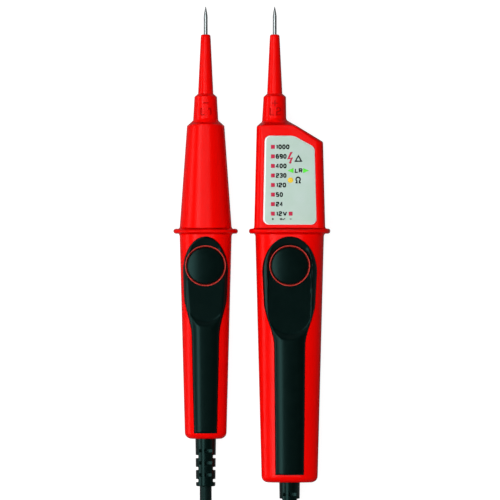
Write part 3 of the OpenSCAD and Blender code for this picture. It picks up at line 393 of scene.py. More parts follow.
# %% Make the steels
ground_steel, tree, shader, place = new_finish(
    "hardened_steel_ground", {"Metallic": 1.0, "Roughness": 0.24})
tint(tree, shader, texture(tree, place, 3), "#c6d0d3", "#d3dbdd")
marks = texture(tree, place, 1.5, 4, stretch=(1, 10, 1))
vary_roughness(tree, shader, marks, 0.2, 0.3)
relief(tree, shader, marks, 0.01, 0.3)

zinc_steel = finish(
    "mild_steel_zinc_plated", {"Metallic": 1.0, "Roughness": 0.38},
    drift=1.2, shades=("#9da3a5", "#b9bec0"), gloss=(0.6, 0.3, 0.5, 3), grain=(0.4, 0.008, 0.25))
print("Made", ground_steel.name, "and", zinc_steel.name)

# %% [markdown]
# ## Parts inside the housing
#
# The boards, cells, switches and the motor keep their CAD meshes, because they are
# boxes and rounds that the housing hides. They still get the finish of the real thing:
# solder mask over glass cloth, lacquered resistors, sleeved cells.

# %% Make the inner finishes
PLASTIC_IOR = 1.53
inner = {}
for slot_name, real, dark, light, rough, grain in (
        ("white_plastic", "white_polycarbonate_moulded", "#dcdcd6", "#ecece8", 0.4, 1.5),
        ("dark_plastic", "black_epoxy_moulded", "#1b1c1e", "#27292b", 0.5, 0.6),
        ("board_green", "solder_mask_on_glass_cloth", "#2a6238", "#34764a", 0.32, 0.8),
        ("resistor_body", "cement_dipped", "#c2ae86", "#d6c6a2", 0.55, 0.5),
        ("cell_wrap", "shrink_sleeve_drawn", "#34649a", "#4577b0", 0.25, 3.0),
        ("inner_wire", "brown_pvc_extruded", "#64421f", "#7a5330", 0.45, 0.7),
        ("plunger", "natural_nylon_moulded", "#c8b88c", "#dccda4", 0.42, 0.6)):
    inner[slot_name] = finish(
        real, {"IOR": PLASTIC_IOR, "Roughness": rough}, drift=grain * 3, shades=(dark, light),
        gloss=(grain, rough - 0.06, rough + 0.08, 3), grain=(grain / 2, 0.01, 0.25))
inner["screw_steel"] = zinc_steel
inner["probe_steel"] = ground_steel
print("Inner finishes:", len(inner))

# %% [markdown]
# ## The lines of a handle
#
# Each handle tapers from its collar to its tail. Seen from above its sides are straight,
# and across it is a tunnel: upright sides that turn over an elliptic shoulder to a
# flatter front. The same few measures as in the CAD source give the width, the front
# height and the back height anywhere along it.

# %% Measures of the two handles
BODY_LEN = {"plain": 104.7, "display": 126.7}
NECK_HALF = {"plain": 13.15, "display": 17.35}
TAIL_HALF = {"plain": 10.45, "display": 14.1}
COLLAR_HALF = {"plain": 16.25, "display": 20.5}
NECK_FRONT, TAIL_FRONT, NECK_BACK, TAIL_BACK = 12.6, 7.5, 10.6, 12.0
SIDE_SHARE, FRONT_SHARE, BACK_SHARE = 0.8, 0.75, 0.6
TAIL_ROUND = 3.1


def mix(a, b, t):
    return a + (b - a) * t


def ease(t):
    t = np.clip(t, 0, 1)
    return t * t * (3 - 2 * t)


def half_at(handle, y):
    return mix(NECK_HALF[handle], TAIL_HALF[handle], -y / BODY_LEN[handle])


def rise_at(handle, y, front):
    neck, tail = (NECK_FRONT, TAIL_FRONT) if front else (NECK_BACK, TAIL_BACK)
    return mix(neck, tail, -y / BODY_LEN[handle])


def skin_height(handle, x, y, front=True):
    """How far the housing's face stands from the axis plane."""
    half, rise = half_at(handle, y), rise_at(handle, y, front)
    rx, rz = half * SIDE_SHARE, rise * (FRONT_SHARE if front else BACK_SHARE)
    u = np.clip((np.abs(x) - half + rx) / rx, 0, 1)
    return rise - rz + rz * np.sqrt(1 - u * u)


print("Across the collars, mm:", {handle: 2 * half for handle, half in COLLAR_HALF.items()})

# %% One ring across a half housing
QUARTER = np.linspace(0, math.pi / 2, 13)
PARTING = 0.12


def half_ring(y, left, right, rise, side, crown, low=0.0):
    """From the right foot over the crown to the left foot. The feet are bevelled."""
    mid, half = (left + right) / 2, (right - left) / 2
    rx, rz = half * side, min(rise * crown, rise - 0.4)
    turn_x, turn_z = half - rx + rx * np.cos(QUARTER), rise - rz + rz * np.sin(QUARTER)
    foot = low + PARTING
    side_x = [half - PARTING, half, half]
    side_z = [low, foot, (foot + rise - rz) / 2]
    flat = (half - rx) * np.array([0.5, 0, -0.5])
    x = np.concatenate([side_x, turn_x, flat, -turn_x[::-1], np.negative(side_x[::-1])])
    z = np.concatenate([side_z, turn_z, [rise] * 3, turn_z[::-1], side_z[::-1]])
    return np.stack([mid + x, np.full(len(x), float(y)), z], 1)


# %% [markdown]
# ## Outlines with soft corners
#
# The shoulder, the lug and the sloping side of the display head are straight lines with
# small radii between them, as a mould maker draws them. An outline here is a list of
# corners with a radius each, and it turns into a dense line that can be read at any
# place along the handle.

# %% Round the corners of an outline
def rounded(corners, radii, steps=6):
    points = [np.array(c, float) for c in corners]
    line = [points[0]]
    for before, corner, after, radius in zip(points, points[1:], points[2:], radii):
        back, on = before - corner, after - corner
        back, on = back / np.linalg.norm(back), on / np.linalg.norm(on)
        half = math.acos(np.clip(back @ on, -1, 1)) / 2
        reach = radius / math.tan(half)
        start, end = corner + back * reach, corner + on * reach
        for t in np.linspace(0, 1, steps + 1):
            line.append((1 - t) ** 2 * start + 2 * t * (1 - t) * corner + t * t * end)
    return np.array(line + [points[-1]])


COLLAR_FOOT, HEAD_END, LUG_BLEND, LUG_END = 2.4, 52.5, 3.6, 69.4
LEAST_STEP = 0.08
LUG_LINE = [(68.1, 5.66), (68.7, 4.5), (LUG_END, 3.85)]
SHOULDER = [(54.75, 6.9), (56.9, 6.2)]
UPPER = {
    "plain": {
        "left": rounded([(1.25, -13.15), (53.1, -9.45), (55.9, -6.35), (67.8, -5.675),
                         (LUG_END, -3.85)], (0.9, 0.8, 0.5)),
        "right": rounded([(1.25, 13.15), (53.1, 9.45), (55.9, 6.35), (67.8, 5.675),
                          (LUG_END, 3.85)], (0.9, 0.8, 0.5)),
        "front": rounded([(1.25, 12.4), (53.9, 9.5)] + SHOULDER + LUG_LINE,
                         (0.5, 0.3, 1.6, 0.3, 0.4)),
        "back": rounded([(1.25, 10.6), (53.6, 9.5)] + SHOULDER + LUG_LINE,
                        (0.5, 0.15, 1.6, 0.3, 0.4)),
        "side": (0.94, 0.97), "crown_front": (0.94, 0.97), "crown_back": (0.94, 0.97)},
    "display": {
        "left": rounded([(1.25, -17.9), (52.7, -16.65), (55.3, -13.95), (67.8, -13.175),
                         (LUG_END, -11.35)], (1.0, 1.0, 0.5)),
        "right": rounded([(1.25, 17.9), (44.9, 16.8), (56.2, -1.65), (67.8, -1.825),
                          (LUG_END, -3.65)], (1.5, 2.0, 0.5)),
        "front": rounded([(1.25, 11), (53.2, 11)] + SHOULDER + LUG_LINE,
                         (0.5, 0.3, 1.6, 0.3, 0.4)),
        "back": rounded([(1.25, 10.6), (44.5, 9.6), (53.6, 9.6)] + SHOULDER + LUG_LINE,
                        (3, 0.5, 0.15, 1.6, 0.3, 0.4)),
        "side": (0.24, 0.97), "crown_front": (0.36, 0.97), "crown_back": (0.6, 0.97)},
}


def read_at(line, y):
    return float(np.interp(y, line[:, 0], line[:, 1]))


def upper_ring(handle, y, front):
    lines = UPPER[handle]
    left, right, rise = (read_at(lines[k], y)
                         for k in ("left", "right", "front" if front else "back"))
    blend = float(ease((y - HEAD_END) / LUG_BLEND))
    side = mix(*lines["side"], blend)
    crown = mix(*lines["crown_front" if front else "crown_back"], blend)
    return half_ring(y, left, right, rise, side, crown)


def upper_stations(handle):
    """Places of the rings: each point of the outlines, and some between."""
    lines = UPPER[handle]
    places = np.concatenate([lines[k][:, 0] for k in ("left", "right", "front", "back")]
                            + [np.arange(4, 50, 4.0), np.linspace(51, 57, 13)])
    kept = [COLLAR_FOOT]
    for y in np.sort(places[places > COLLAR_FOOT]):
        if y - kept[-1] > LEAST_STEP:
            kept.append(float(y))
    kept[-1] = LUG_END
    return kept


print("Stations up the display head:", len(upper_stations("display")))

# %% [markdown]
# ## Housing halves
#
# A real housing is two moulded shells that meet in the plane of the pins, so each
# handle gets a front and a back, closed meshes with a hollow inside and a fine bevel
# where they meet. That bevel draws the hairline that one sees along the side. The
# finger collar is part of the same skin: a thin web that ends in a rounded bead. At the
# front the web starts in a V groove, which draws a dark crease on each side of it.

# %% Rings from the tail to the end of the lug
COLLAR_RISE = {True: 14.8, False: 13.0}
SIDE_WEB = [(0.02, 2.05), (0.06, 1.72), (0.14, 1.42), (0.27, 1.17), (0.42, 1.03), (0.55, 1.02)]
FACE_WEB = [(-0.03, 1.7), (-0.3, 1.5), (-0.6, 1.28), (-0.45, 1.14), (0.05, 1.02), (0.36, 0.94)]
SIDE_BEAD, FACE_BEAD = 1.25, 0.88
SIDE_BEAD_SHARE, FACE_BEAD_SHARE, FACE_FADE = 0.38, 0.5, 5


def collar_profile(web, bead_half, bead_share):
    """(share of the way from the body to the rim, place along the handle)."""
    lower = [(share, -y) for share, y in web]
    bead = [(1 - bead_share * (1 - math.sin(a)), -bead_half * math.cos(a))
            for a in np.linspace(0, math.pi, 13)]
    upper = [(share, y) for share, y in reversed(web)]
    return np.array(lower + bead + upper)


def housing_rings(handle, front):
    length = BODY_LEN[handle]
    crown = FRONT_SHARE if front else BACK_SHARE

    def body_ring(y, inset=0.0):
        half = half_at(handle, y) - inset
        return half_ring(y, -half, half, rise_at(handle, y, front) - inset, SIDE_SHARE, crown)

    rings = []
    for a in np.linspace(0.15, math.pi / 2, 8):
        rings.append(body_ring(-length + TAIL_ROUND * (1 - math.cos(a)),
                               TAIL_ROUND * (1 - math.sin(a))))
    rings += [body_ring(y) for y in np.linspace(-length + TAIL_ROUND + 1.5, -COLLAR_FOOT, 34)]
    neck, head = body_ring(0.0), upper_ring(handle, COLLAR_FOOT, front)
    rim_half = COLLAR_HALF[handle]
    rim = half_ring(0, -rim_half, rim_half, COLLAR_RISE[front], SIDE_SHARE, crown)
    facing = ease((rim_half - np.abs(rim[:, 0])) / FACE_FADE)[:, None]
    for at_side, at_face in zip(collar_profile(SIDE_WEB, SIDE_BEAD, SIDE_BEAD_SHARE),
                                collar_profile(FACE_WEB, FACE_BEAD, FACE_BEAD_SHARE)):
        share, y = mix(at_side, at_face, facing).T
        ring = mix(neck if y[0] < 0 else head, rim, share[:, None])
        ring[:, 1] = y
        rings.append(ring)
    rings += [upper_ring(handle, y, front) for y in upper_stations(handle)]
    rings = np.array(rings)
    if not front:
        rings[:, :, 2] = -np.minimum(rings[:, :, 2], AXIS_HIGH)
    rings[0, :, 1] = -length
    return rings


print("Rings of the front shells:", [len(housing_rings(handle, True)) for handle in HANDLE_X])

# %% The hollow, the sockets and the screw holes
WALL, ROOF, BACK_FALL = 2.2, (7.2, 5.0), 0.02
# From, to and radius. The boot's places count from the tail
SLEEVE_BORE, BOOT_BORE = (49, 72, 3.87), (-2, 4, 4.03)
RING_OUT, RING_PLAY = 10.25, 0.05
ABOVE, BELOW = 20, -20
UPPER_ROOF = {"plain": (10.2, 7.4), "display": (8.4, 8.4)}
SCREWS = {"plain": [(-7.4, -3.6), (7.4, -3.6), (0, 42), (0, -95.6)],
          "display": [(-11.3, -3.6), (11.3, -3.6), (11.3, 37.5), (0, -115.2)]}


def hollow(handle, front):
    crown = FRONT_SHARE if front else BACK_SHARE
    length = BODY_LEN[handle]
    rings = []
    for y in np.linspace(-length + 3, 0, 12):
        half = half_at(handle, y) - WALL
        roof = mix(*ROOF, -y / length) if front else rise_at(handle, y, False) - WALL
        rings.append(half_ring(y, -half, half, roof, SIDE_SHARE, crown, low=-1))
    for y in (0.5, 10, 20, 30, 42, 46, 50):
        left, right = (read_at(UPPER[handle][k], y + WALL) for k in ("left", "right"))
        roof = mix(*UPPER_ROOF[handle], y / 50) if front else NECK_BACK - WALL - y * BACK_FALL
        side, crown_there = (0.24, 0.5) if handle == "display" else (0.94, 0.9)
        rings.append(half_ring(y, left + WALL, right - WALL, roof, side, crown_there, low=-1))
    rings = np.array(rings)
    if not front:
        rings[:, :, 2] *= -1
    return sewn("hollow", rings, handle)


def bore(handle, x, y0, y1, radius):
    profile = [(0.01, y0), (radius, y0), (radius, y1), (0.01, y1)]
    return turned("bore", profile, handle, (x, 0, 0), "y", 48)


def drill(handle, x, y, z0, z1, radius, steps=48):
    profile = [(0.001, z0), (radius, z0), (radius, z1), (0.001, z1)]
    return turned("drill", profile, handle, (x, y, 0), "z", steps)


def sockets(handle):
    """The bores that hold the sleeve and the boot."""
    tail = -BODY_LEN[handle]
    y0, y1, radius = BOOT_BORE
    return [bore(handle, NOSE_X[handle], *SLEEVE_BORE),
            bore(handle, 0, tail + y0, tail + y1, radius)]


def button_bore(handle, floor):
    return drill(handle, 0, BUTTON_Y, floor, ABOVE, RING_OUT + RING_PLAY, 96)


# %% [markdown]
# ## The grip pads
#
# A long tongue of black rubber fills a pocket in each front shell. It is arched at the
# top, narrows below the thumb and runs to the tail. It follows the curve of the front
# and stands a third of a millimetre proud, with rolled edges. Round the button it dips
# to a flat thumb seat. A grid that is stretched to the outline carries all of that as
# one height for each point, which a modelled block would have to be cut for.

# %% Outline and seat of a pad
PAD_HALF = {"plain": 11.3, "display": 13.7}
PAD_SHARES = {"plain": (0.965, 0.61, 0.51), "display": (0.945, 0.565, 0.52)}
PAD_NARROWS = {"plain": (31, 53), "display": (35, 58)}
PAD_TOP, PAD_WIDE = 2.7, 20.6
PAD_END = {"plain": 101.8, "display": 122.7}
BUTTON_Y = -17.4
SEAT_HALF = {"plain": 9.3, "display": 10.6}
SEAT_END = {"plain": 45.5, "display": 51.9}
SEAT_RISE, SEAT_SIDE_SLOPE, SEAT_END_SLOPE = 9.6, 1.9, 0.8
SEAT_FADE, SEAT_TOP, SOFT = 4, -12, 0.2
PAD_PROUD, PAD_DEEP = 0.35, 1.0
PAD_BULGE = {"plain": 0.8, "display": 1.2}


def pad_half(handle, y):
    down, wide = -np.asarray(y, float), PAD_HALF[handle]
    mid, waist, foot = (wide * s for s in PAD_SHARES[handle])
    narrow, slim = PAD_NARROWS[handle]
    end = PAD_END[handle]
    arch = wide * np.sqrt(np.clip(1 - ((PAD_WIDE - down) / (PAD_WIDE - PAD_TOP)) ** 2, 0, 1))
    upper = mix(wide, mid, (down - PAD_WIDE) / (narrow - PAD_WIDE))
    taper = mix(mid, waist, ease((down - narrow) / (slim - narrow)))
    tail = mix(waist, foot, (down - slim) / (end - slim))
    return np.where(down < PAD_WIDE, arch,
                    np.where(down < narrow, upper, np.where(down < slim, taper, tail)))


def seat_distance(handle, x, y):
    """Distance outside the round-ended thumb seat; below zero inside it."""
    radius = SEAT_HALF[handle]
    spine = np.clip(y, radius - SEAT_END[handle], BUTTON_Y)
    return np.hypot(x, y - spine) - radius


def pad_face(handle, x, y):
    """Height of the rubber: arched like the housing, flat at the thumb seat."""
    bulge = PAD_BULGE[handle] * (1 - (x / pad_half(handle, y).clip(2)) ** 2)
    crown = skin_height(handle, x, y) + PAD_PROUD + bulge
    at_end = np.maximum(ease((SEAT_HALF[handle] - SEAT_END[handle] - y) / SEAT_FADE),
                        ease((y - SEAT_TOP) / SEAT_FADE))
    slope = mix(SEAT_SIDE_SLOPE, SEAT_END_SLOPE, at_end)
    seat = SEAT_RISE + np.maximum(0, slope * seat_distance(handle, x, y))
    # The lower of the two heights, with a soft edge where they meet
    return -SOFT * np.log(np.exp(-crown / SOFT) + np.exp(-seat / SOFT))


def pad_bed(handle, x, y):
    """Height of the pocket's floor, lower under the thumb seat."""
    skin = skin_height(handle, x, y)
    seated = -y < SEAT_END[handle] + 1.2
    return np.where(seated, np.minimum(skin, SEAT_RISE), skin) - PAD_DEEP


print("Pad lengths, mm:", [round(PAD_END[handle] - PAD_TOP, 1) for handle in HANDLE_X])

# %% A grid stretched to an outline
EDGE_DENSE = np.sin(np.linspace(-math.pi / 2, math.pi / 2, 81))


def pad_rows(handle):
    end = PAD_END[handle]
    foot = -end + np.array([0, 0.06, 0.14, 0.26, 0.42, 0.62, 0.9, 1.4, 2.2])
    side = np.concatenate([np.linspace(-end + 3.5, -56, 16, endpoint=False),
                           np.linspace(-56, -PAD_WIDE, 70)])
    arch = -PAD_WIDE + (PAD_WIDE - PAD_TOP) * np.sin(np.linspace(0.05, math.pi / 2 - 0.02, 30))
    return np.concatenate([foot, side, arch])


def stretched(name, handle, rows, half, face, bed):
    """A closed slab: face and bed give the height at (x, y)."""
    y = np.repeat(rows[:, None], len(EDGE_DENSE), 1)
    x = half(rows)[:, None] * EDGE_DENSE[None, :]
    top = np.stack([x, y, face(x, y)], 2)
    low = np.stack([x, y, bed(x, y)], 2)
    rings = np.concatenate([top, low[:, ::-1]], 1)
    return sewn(name, rings, handle)


def both_sides(rows, half):
    """The closed outline of a slab from its half width at each row."""
    return np.concatenate([np.stack([half, rows], 1), np.stack([-half, rows], 1)[::-1]])


def edge_roll(outline, x, y, radius):
    """How far a rolled edge drops below the face, from the distance to the outline."""
    a, b = outline, np.roll(outline, -1, 0)
    px, py = x.ravel()[:, None], y.ravel()[:, None]
    run = b - a
    t = ((px - a[:, 0]) * run[:, 0] + (py - a[:, 1]) * run[:, 1]) / (run ** 2).sum(1)
    t = np.clip(t, 0, 1)
    away = np.hypot(px - a[:, 0] - t * run[:, 0], py - a[:, 1] - t * run[:, 1]).min(1)
    inside = np.clip(radius - away, 0, radius)
    return (radius - np.sqrt(radius ** 2 - inside ** 2)).reshape(x.shape)


# %% Cut the front shells
PLATE_LOW, PLATE_FACE = 10.0, 11.0
PAD_PLAY, PLATE_PLAY, PLATE_GAP = 0.12, 0.1, 0.05
BUTTON_FLOOR = 4.1
PLATE_CORNERS = [(-13.5, 3.2), (13.5, 3.2), (12.55, 42.2), (2.0, 47.95), (-12.6, 47.95)]
PLATE_RADII = (2.9, 2.8, 3.2, 7.5, 2.7)
LIGHT_WELL = [(-10.2, 6.7), (10.4, 6.7), (10.4, 33), (2.6, 33), (2.6, 40.4), (-6.6, 40.4),
              (-6.6, 44.6), (-10.2, 44.6)]


def round_outline(corners, radii, shrink=0.0, steps=8):
    """Corners anticlockwise; the outline may be shrunk or, below zero, grown."""
    line, count = [], len(corners)
    for i in range(count):
        radius = radii[i] if isinstance(radii, tuple) else radii
        p, before, after = (np.array(corners[k % count], float) for k in (i, i - 1, i + 1))
        a = (before - p) / np.linalg.norm(before - p)
        b = (after - p) / np.linalg.norm(after - p)
        half = math.acos(a @ b) / 2
        middle = (a + b) / np.linalg.norm(a + b)
        centre = p + middle * radius / math.sin(half)
        start = math.atan2(-middle[1], -middle[0]) - (math.pi / 2 - half)
        for k in range(steps + 1):
            turn = start + (math.pi - 2 * half) * k / steps
            line.append(centre + (radius - shrink) * np.array([math.cos(turn), math.sin(turn)]))
    return np.array(line)


def front_shell(handle):
    shell = sewn(f"{handle}_front_housing", housing_rings(handle, True), handle)
    pocket = stretched("pocket", handle, pad_rows(handle),
                       lambda y: pad_half(handle, y) + PAD_PLAY,
                       lambda x, y: np.full(x.shape, float(ABOVE)),
                       lambda x, y: pad_bed(handle, x, y))
    tools = [hollow(handle, True), pocket] + sockets(handle) + [button_bore(handle, BUTTON_FLOOR)]
    if handle == "display":
        recess = round_outline(PLATE_CORNERS, PLATE_RADII, -PLATE_PLAY)
        tools.append(prism("recess", recess, PLATE_LOW - PLATE_GAP, ABOVE, handle))
        tools.append(prism("well", LIGHT_WELL, -1, ABOVE, handle))
    carve(shell, tools)
    return dress(shell, red_abs, "red_plastic", f"{handle}_handle", [f"{handle}_front_shell"])


for handle in HANDLE_X:
    front_shell(handle)

# %% [markdown]
# ## Backs and the battery cover
#
# The back shells lie on the table at the collar and the tail. Four screws hold each
# pair of shells, sunk in counterbores, and the display handle has a screwed cover over
# its two cells. The photograph doesn't show the backs, so they are kept plain.

# %% Cut the back shells
COVER_HALF, COVER_TOP, COVER_FOOT = 11.0, -53.4, -109.8
COVER_SCREW_Y, COVER_PLAY, COVER_CORNER = -57.0, 0.15, 2.0
SCREW_SEAT, COVER_SCREW_SEAT = -6.6, -9.0
SINK, COVER_SINK, COVER_HOLE = 2.4, 2.8, 1.7
BAY_TOP, COVER_IN = -6.0, -6.2


def cover_half(y, shrink):
    """Half width of the cover, with round corners."""
    away = np.minimum(np.asarray(y) - COVER_FOOT, COVER_TOP - np.asarray(y)) - shrink
    inside = np.clip(COVER_CORNER - away, 0, COVER_CORNER)
    return COVER_HALF - shrink - (COVER_CORNER - np.sqrt(COVER_CORNER ** 2 - inside ** 2))


def cover_rows(shrink):
    ends = np.array([0, 0.05, 0.15, 0.35, 0.6, 1.0, 1.5, 2.0])
    return np.concatenate([COVER_FOOT + shrink + ends,
                           np.linspace(COVER_FOOT + 4, COVER_TOP - 4, 30),
                           (COVER_TOP - shrink - ends)[::-1]])


def back_shell(handle):
    shell = sewn(f"{handle}_back_housing", housing_rings(handle, False), handle)
    tools = [hollow(handle, False)] + sockets(handle)
    for x, y in SCREWS[handle]:
        tools.append(drill(handle, x, y, BELOW, SCREW_SEAT, SINK))
    if handle == "display":
        tools.append(stretched("bay", handle, cover_rows(0), lambda y: cover_half(y, 0),
                               lambda x, y: np.full(x.shape, BAY_TOP),
                               lambda x, y: np.full(x.shape, float(BELOW))))
    carve(shell, tools)
    return dress(shell, red_abs, "red_plastic", f"{handle}_handle", [f"{handle}_back_shell"])


for handle in HANDLE_X:
    back_shell(handle)

# %% Make the battery cover
COVER_ROLL = 0.5


def cover_skin(x, y):
    return -skin_height("display", x, y, front=False)


rows = cover_rows(COVER_PLAY)
edge = both_sides(rows, cover_half(rows, COVER_PLAY))
cover = stretched("battery_door", "display", rows, lambda y: cover_half(y, COVER_PLAY),
                  lambda x, y: np.minimum(cover_skin(x, y) + WALL, COVER_IN),
                  lambda x, y: cover_skin(x, y) + edge_roll(edge, x, y, COVER_ROLL))
carve(cover, [drill("display", 0, COVER_SCREW_Y, BELOW, COVER_SCREW_SEAT, COVER_SINK),
              drill("display", 0, COVER_SCREW_Y, COVER_SCREW_SEAT - 1, 0, COVER_HOLE)])
dress(cover, red_abs, "red_plastic", "display_handle", ["battery_cover"])

# %% [markdown]
# ## Screws
#
# Each screw has a domed pan head with a cross recess. The threads are hidden in the
# bosses, so the shank stays smooth.

# %% Make the screws
CROSS_SHARE, CROSS_HALF = 0.62, 0.3


def screw(handle, x, y, seat, radius, head_radius, head, length):
    """A cross-recess screw, its head under seat and its shank above it."""
    crown = [(head_radius * math.cos(a), seat - head * (0.45 + 0.55 * math.sin(a)))
             for a in np.linspace(0, math.pi / 2 - 0.05, 8)]
    profile = [(0.01, seat + length), (radius, seat + length), (radius, seat),
               (head_radius, seat)] + crown + [(0.01, seat - head)]
    body = turned("screw", profile, handle, (x, y, 0), "z", 32)
    reach, slot = head_radius * CROSS_SHARE, CROSS_HALF
    arms = [block("arm", (x - a, y - b, seat - 3), (x + a, y + b, seat - head + 0.8), handle)
            for a, b in ((reach, slot), (slot, reach))]
    return carve(body, arms)


for handle in HANDLE_X:
    made = [screw(handle, x, y, SCREW_SEAT, radius=1.1, head_radius=2.2, head=1.4, length=11.6)
            for x, y in SCREWS[handle]]
    dress(joined(f"{handle}_screws", made), zinc_steel, "screw_steel", f"{handle}_handle",
          [f"{handle}_housing_screws"])
cover_screw = screw("display", 0, COVER_SCREW_Y, COVER_SCREW_SEAT, radius=1.5, head_radius=2.6,
                    head=1.6, length=10)
cover_screw.name = "cover_screw"
dress(cover_screw, zinc_steel, "screw_steel", "display_handle", ["battery_cover_screw"])

# %% Make the pads
PAD_ROLL, PAD_GAP = 0.8, 0.03
for handle in HANDLE_X:
    rows = pad_rows(handle)
    edge = both_sides(rows, pad_half(handle, rows))
    pad = stretched(f"{handle}_pad", handle, rows, lambda y: pad_half(handle, y),
                    lambda x, y: pad_face(handle, x, y) - edge_roll(edge, x, y, PAD_ROLL),
                    lambda x, y: pad_bed(handle, x, y) + PAD_GAP)
    carve(pad, [button_bore(handle, 0)])
    dress(pad, pad_rubber, "black_rubber", f"{handle}_handle", [f"{handle}_grip_pad"])

# %% [markdown]
# ## Buttons
#
# A button is a round rubber cap, a little domed, that slides in a plain ring. Under it
# a stem reaches the switch on the board. Both are turned shapes, so a profile of a
# dozen points, spun round, gives the soft rim that catches the light.

# %% Make the caps and rings
RIM = np.linspace(0, math.pi / 2, 6)
CAP = ([(0.01, 5.6), (1.6, 5.6), (1.6, 9.1), (7.4, 9.1), (7.4, 5.8), (9.95, 5.8), (9.95, 7.0),
        (9.2, 7.0)]
       + [(8.7 + 0.5 * math.cos(a), 9.66 + 0.5 * math.sin(a)) for a in RIM[:-1]]
       + [(r, 11.25 - 1.05 * (r / 8.6) ** 2) for r in (8.5, 8, 7.2, 6.4, 5.4, 4.2, 3, 1.5, 0.01)])
RING = ([(9.35, 7.1), (RING_OUT, 7.1)]
        + [(10.05 + 0.2 * math.cos(a), 10.1 + 0.2 * math.sin(a)) for a in RIM]
        + [(9.98 - 0.14 * math.sin(a), 10.16 + 0.14 * math.cos(a)) for a in RIM]
        + [(9.8, 9.4), (9.35, 8.4)])
for handle in HANDLE_X:
    middle = (0, BUTTON_Y, 0)
    dress(turned(f"{handle}_button_cap", CAP, handle, middle, steps=96), pad_rubber,
          "black_rubber", f"{handle}_button", [f"{handle}_push_button"])
    dress(turned(f"{handle}_button_collar", RING, handle, middle, steps=96), ring_plastic,
          "ring_plastic", f"{handle}_handle", [f"{handle}_button_ring"])

# %% [markdown]
# ## Sleeves and contact pins
#
# A red sleeve grows out of the lug and tapers to a soft round lip, and the steel pin
# comes out of it and ends in a ground point. Both are turned on a lathe in real life,
# or moulded round a turned core, so they are spun from a profile here too.

# %% Make the sleeves and pins
LIP = np.linspace(0, math.pi / 2, 6)
SLEEVE = ([(1.35, 54.7), (3.85, 54.7), (3.85, 60), (4.7, 60), (4.7, 62.2), (3.85, 62.2),
           (3.85, 69.2), (3.83, 70.0)]
          + [(mix(3.83, 2.46, t), mix(70.0, 98.7, t)) for t in np.linspace(0.1, 0.95, 10)]
          + [(1.62 + 0.8 * math.cos(a), 98.5 + 0.8 * math.sin(a)) for a in LIP]
          + [(1.35, 99.3)])
PIN = ([(0.01, 47), (2.6, 47), (2.6, 50), (1.3, 50), (1.3, 99.25), (1.0, 99.25), (1.0, 104),
        (1.0, 108.2), (0.985, 108.5)]
       + [(mix(0.985, 0.12, t ** 1.35), mix(108.5, 113.4, t)) for t in np.linspace(0.15, 1, 7)]
       + [(0.07, 113.48), (0.01, 113.5)])
for handle in HANDLE_X:
    nose = (NOSE_X[handle], 0, 0)
    dress(turned(f"{handle}_sleeve", SLEEVE, handle, nose, "y"), red_abs, "red_plastic",
          f"{handle}_handle", [f"{handle}_nose_sleeve"])
    dress(turned(f"{handle}_pin", PIN, handle, nose, "y", 40), ground_steel, "probe_steel",
          f"{handle}_handle", [f"{handle}_contact_probe"])

# %% [markdown]
# ## The scale
#
# The display head carries a pale plate with eight voltage steps, a window beside each
# of them, and a few signs. The windows are separate clear blocks in holes of the plate.
# The figures are printed ink, and lie on the plate as thin meshes.

# %% Make the plate and its windows
STEP_Y, STEP_PITCH = 8.75, 4.795
COLUMN = [(-8.48, STEP_Y + i * STEP_PITCH) for i in range(8)] + [(0.42, STEP_Y)]
BOLT = [(0, 0.5), (-0.42, -0.13), (0.05, -0.07), (-0.08, -0.33), (-0.22, -0.33), (-0.02, -0.5),
        (0.28, -0.36), (0.16, -0.36), (0.42, 0.06), (-0.06, 0.01), (0.38, 0.5)]


def square(x, y, side=2.0):
    return round_outline([(x - side / 2, y - side / 2), (x + side / 2, y - side / 2),
                          (x + side / 2, y + side / 2), (x - side / 2, y + side / 2)], 0.2, steps=3)


def arrow(x, y, way):
    tip, tail = x + way * 1.55, x - way * 1.55
    corners = [(tail, y - 1.3), (tip, y), (tail, y + 1.3)]
    return round_outline(corners if way > 0 else corners[::-1], 0.12, steps=3)


def disc(x, y, radius, steps=40):
    turn = round_turn(steps)
    return np.stack([x + radius * np.cos(turn), y + radius * np.sin(turn)], 1)


ARROW_Y = 30.4
# Node, piece, finish, slot and outlines of each set of windows
LENSES = [
    ("scale_windows", "step_lenses", "red", "red_window", [square(x, y) for x, y in COLUMN]),
    ("arrow_windows", "arrow_lenses", "green", "green_window",
     [arrow(0.35, ARROW_Y, -1), arrow(8.2, ARROW_Y, 1)]),
    ("dot_window", "dot_lens", "yellow", "yellow_window", [disc(0.35, 25.6, 1.4)]),
    ("bolt_window", "bolt_lens", "bolt", "red_window",
     [[(0.15 + x * 3.5, 36.7 + y * 6.0) for x, y in BOLT]])]
PLATE_EDGE, LEFT_HIGHLIGHT_LIP = 0.5, 1.5

plate_rings = []
for shrink, z in ([(0, PLATE_LOW), (0, PLATE_FACE - PLATE_EDGE)]
                  + [(PLATE_EDGE * (1 - math.cos(a)), PLATE_FACE - PLATE_EDGE + PLATE_EDGE
                      * math.sin(a)) for a in RIM[1:]]):
    line = round_outline(PLATE_CORNERS, PLATE_RADII, shrink)
    # The rim is widened on the left, so that its painted highlight is broadest on the side that the
    # lamps light.
    line[:, 0] += LEFT_HIGHLIGHT_LIP * shrink * ease((-line[:, 0] - 4) / 7)
    plate_rings.append(np.concatenate([line, np.full((len(line), 1), z)], 1))
plate = sewn("scale_face", plate_rings, "display")
carve(plate, [prism("hole", outline, 0, ABOVE, "display")
              for row in LENSES for outline in row[-1]])
dress(plate, scale_film, "scale_film", "display_handle", ["scale_plate"], crease=40)
# Faces that tilt away from the plate's face take the near-white rim finish, a painted highlight.
plate.data.materials.append(film_rim_highlight)
for face in plate.data.polygons:
    face.material_index = 1 if abs(face.normal.z) < 0.985 else 0

# %% Round the tops of the windows
LENS_EDGE, LENS_FACE = 0.14, PLATE_FACE + 0.1


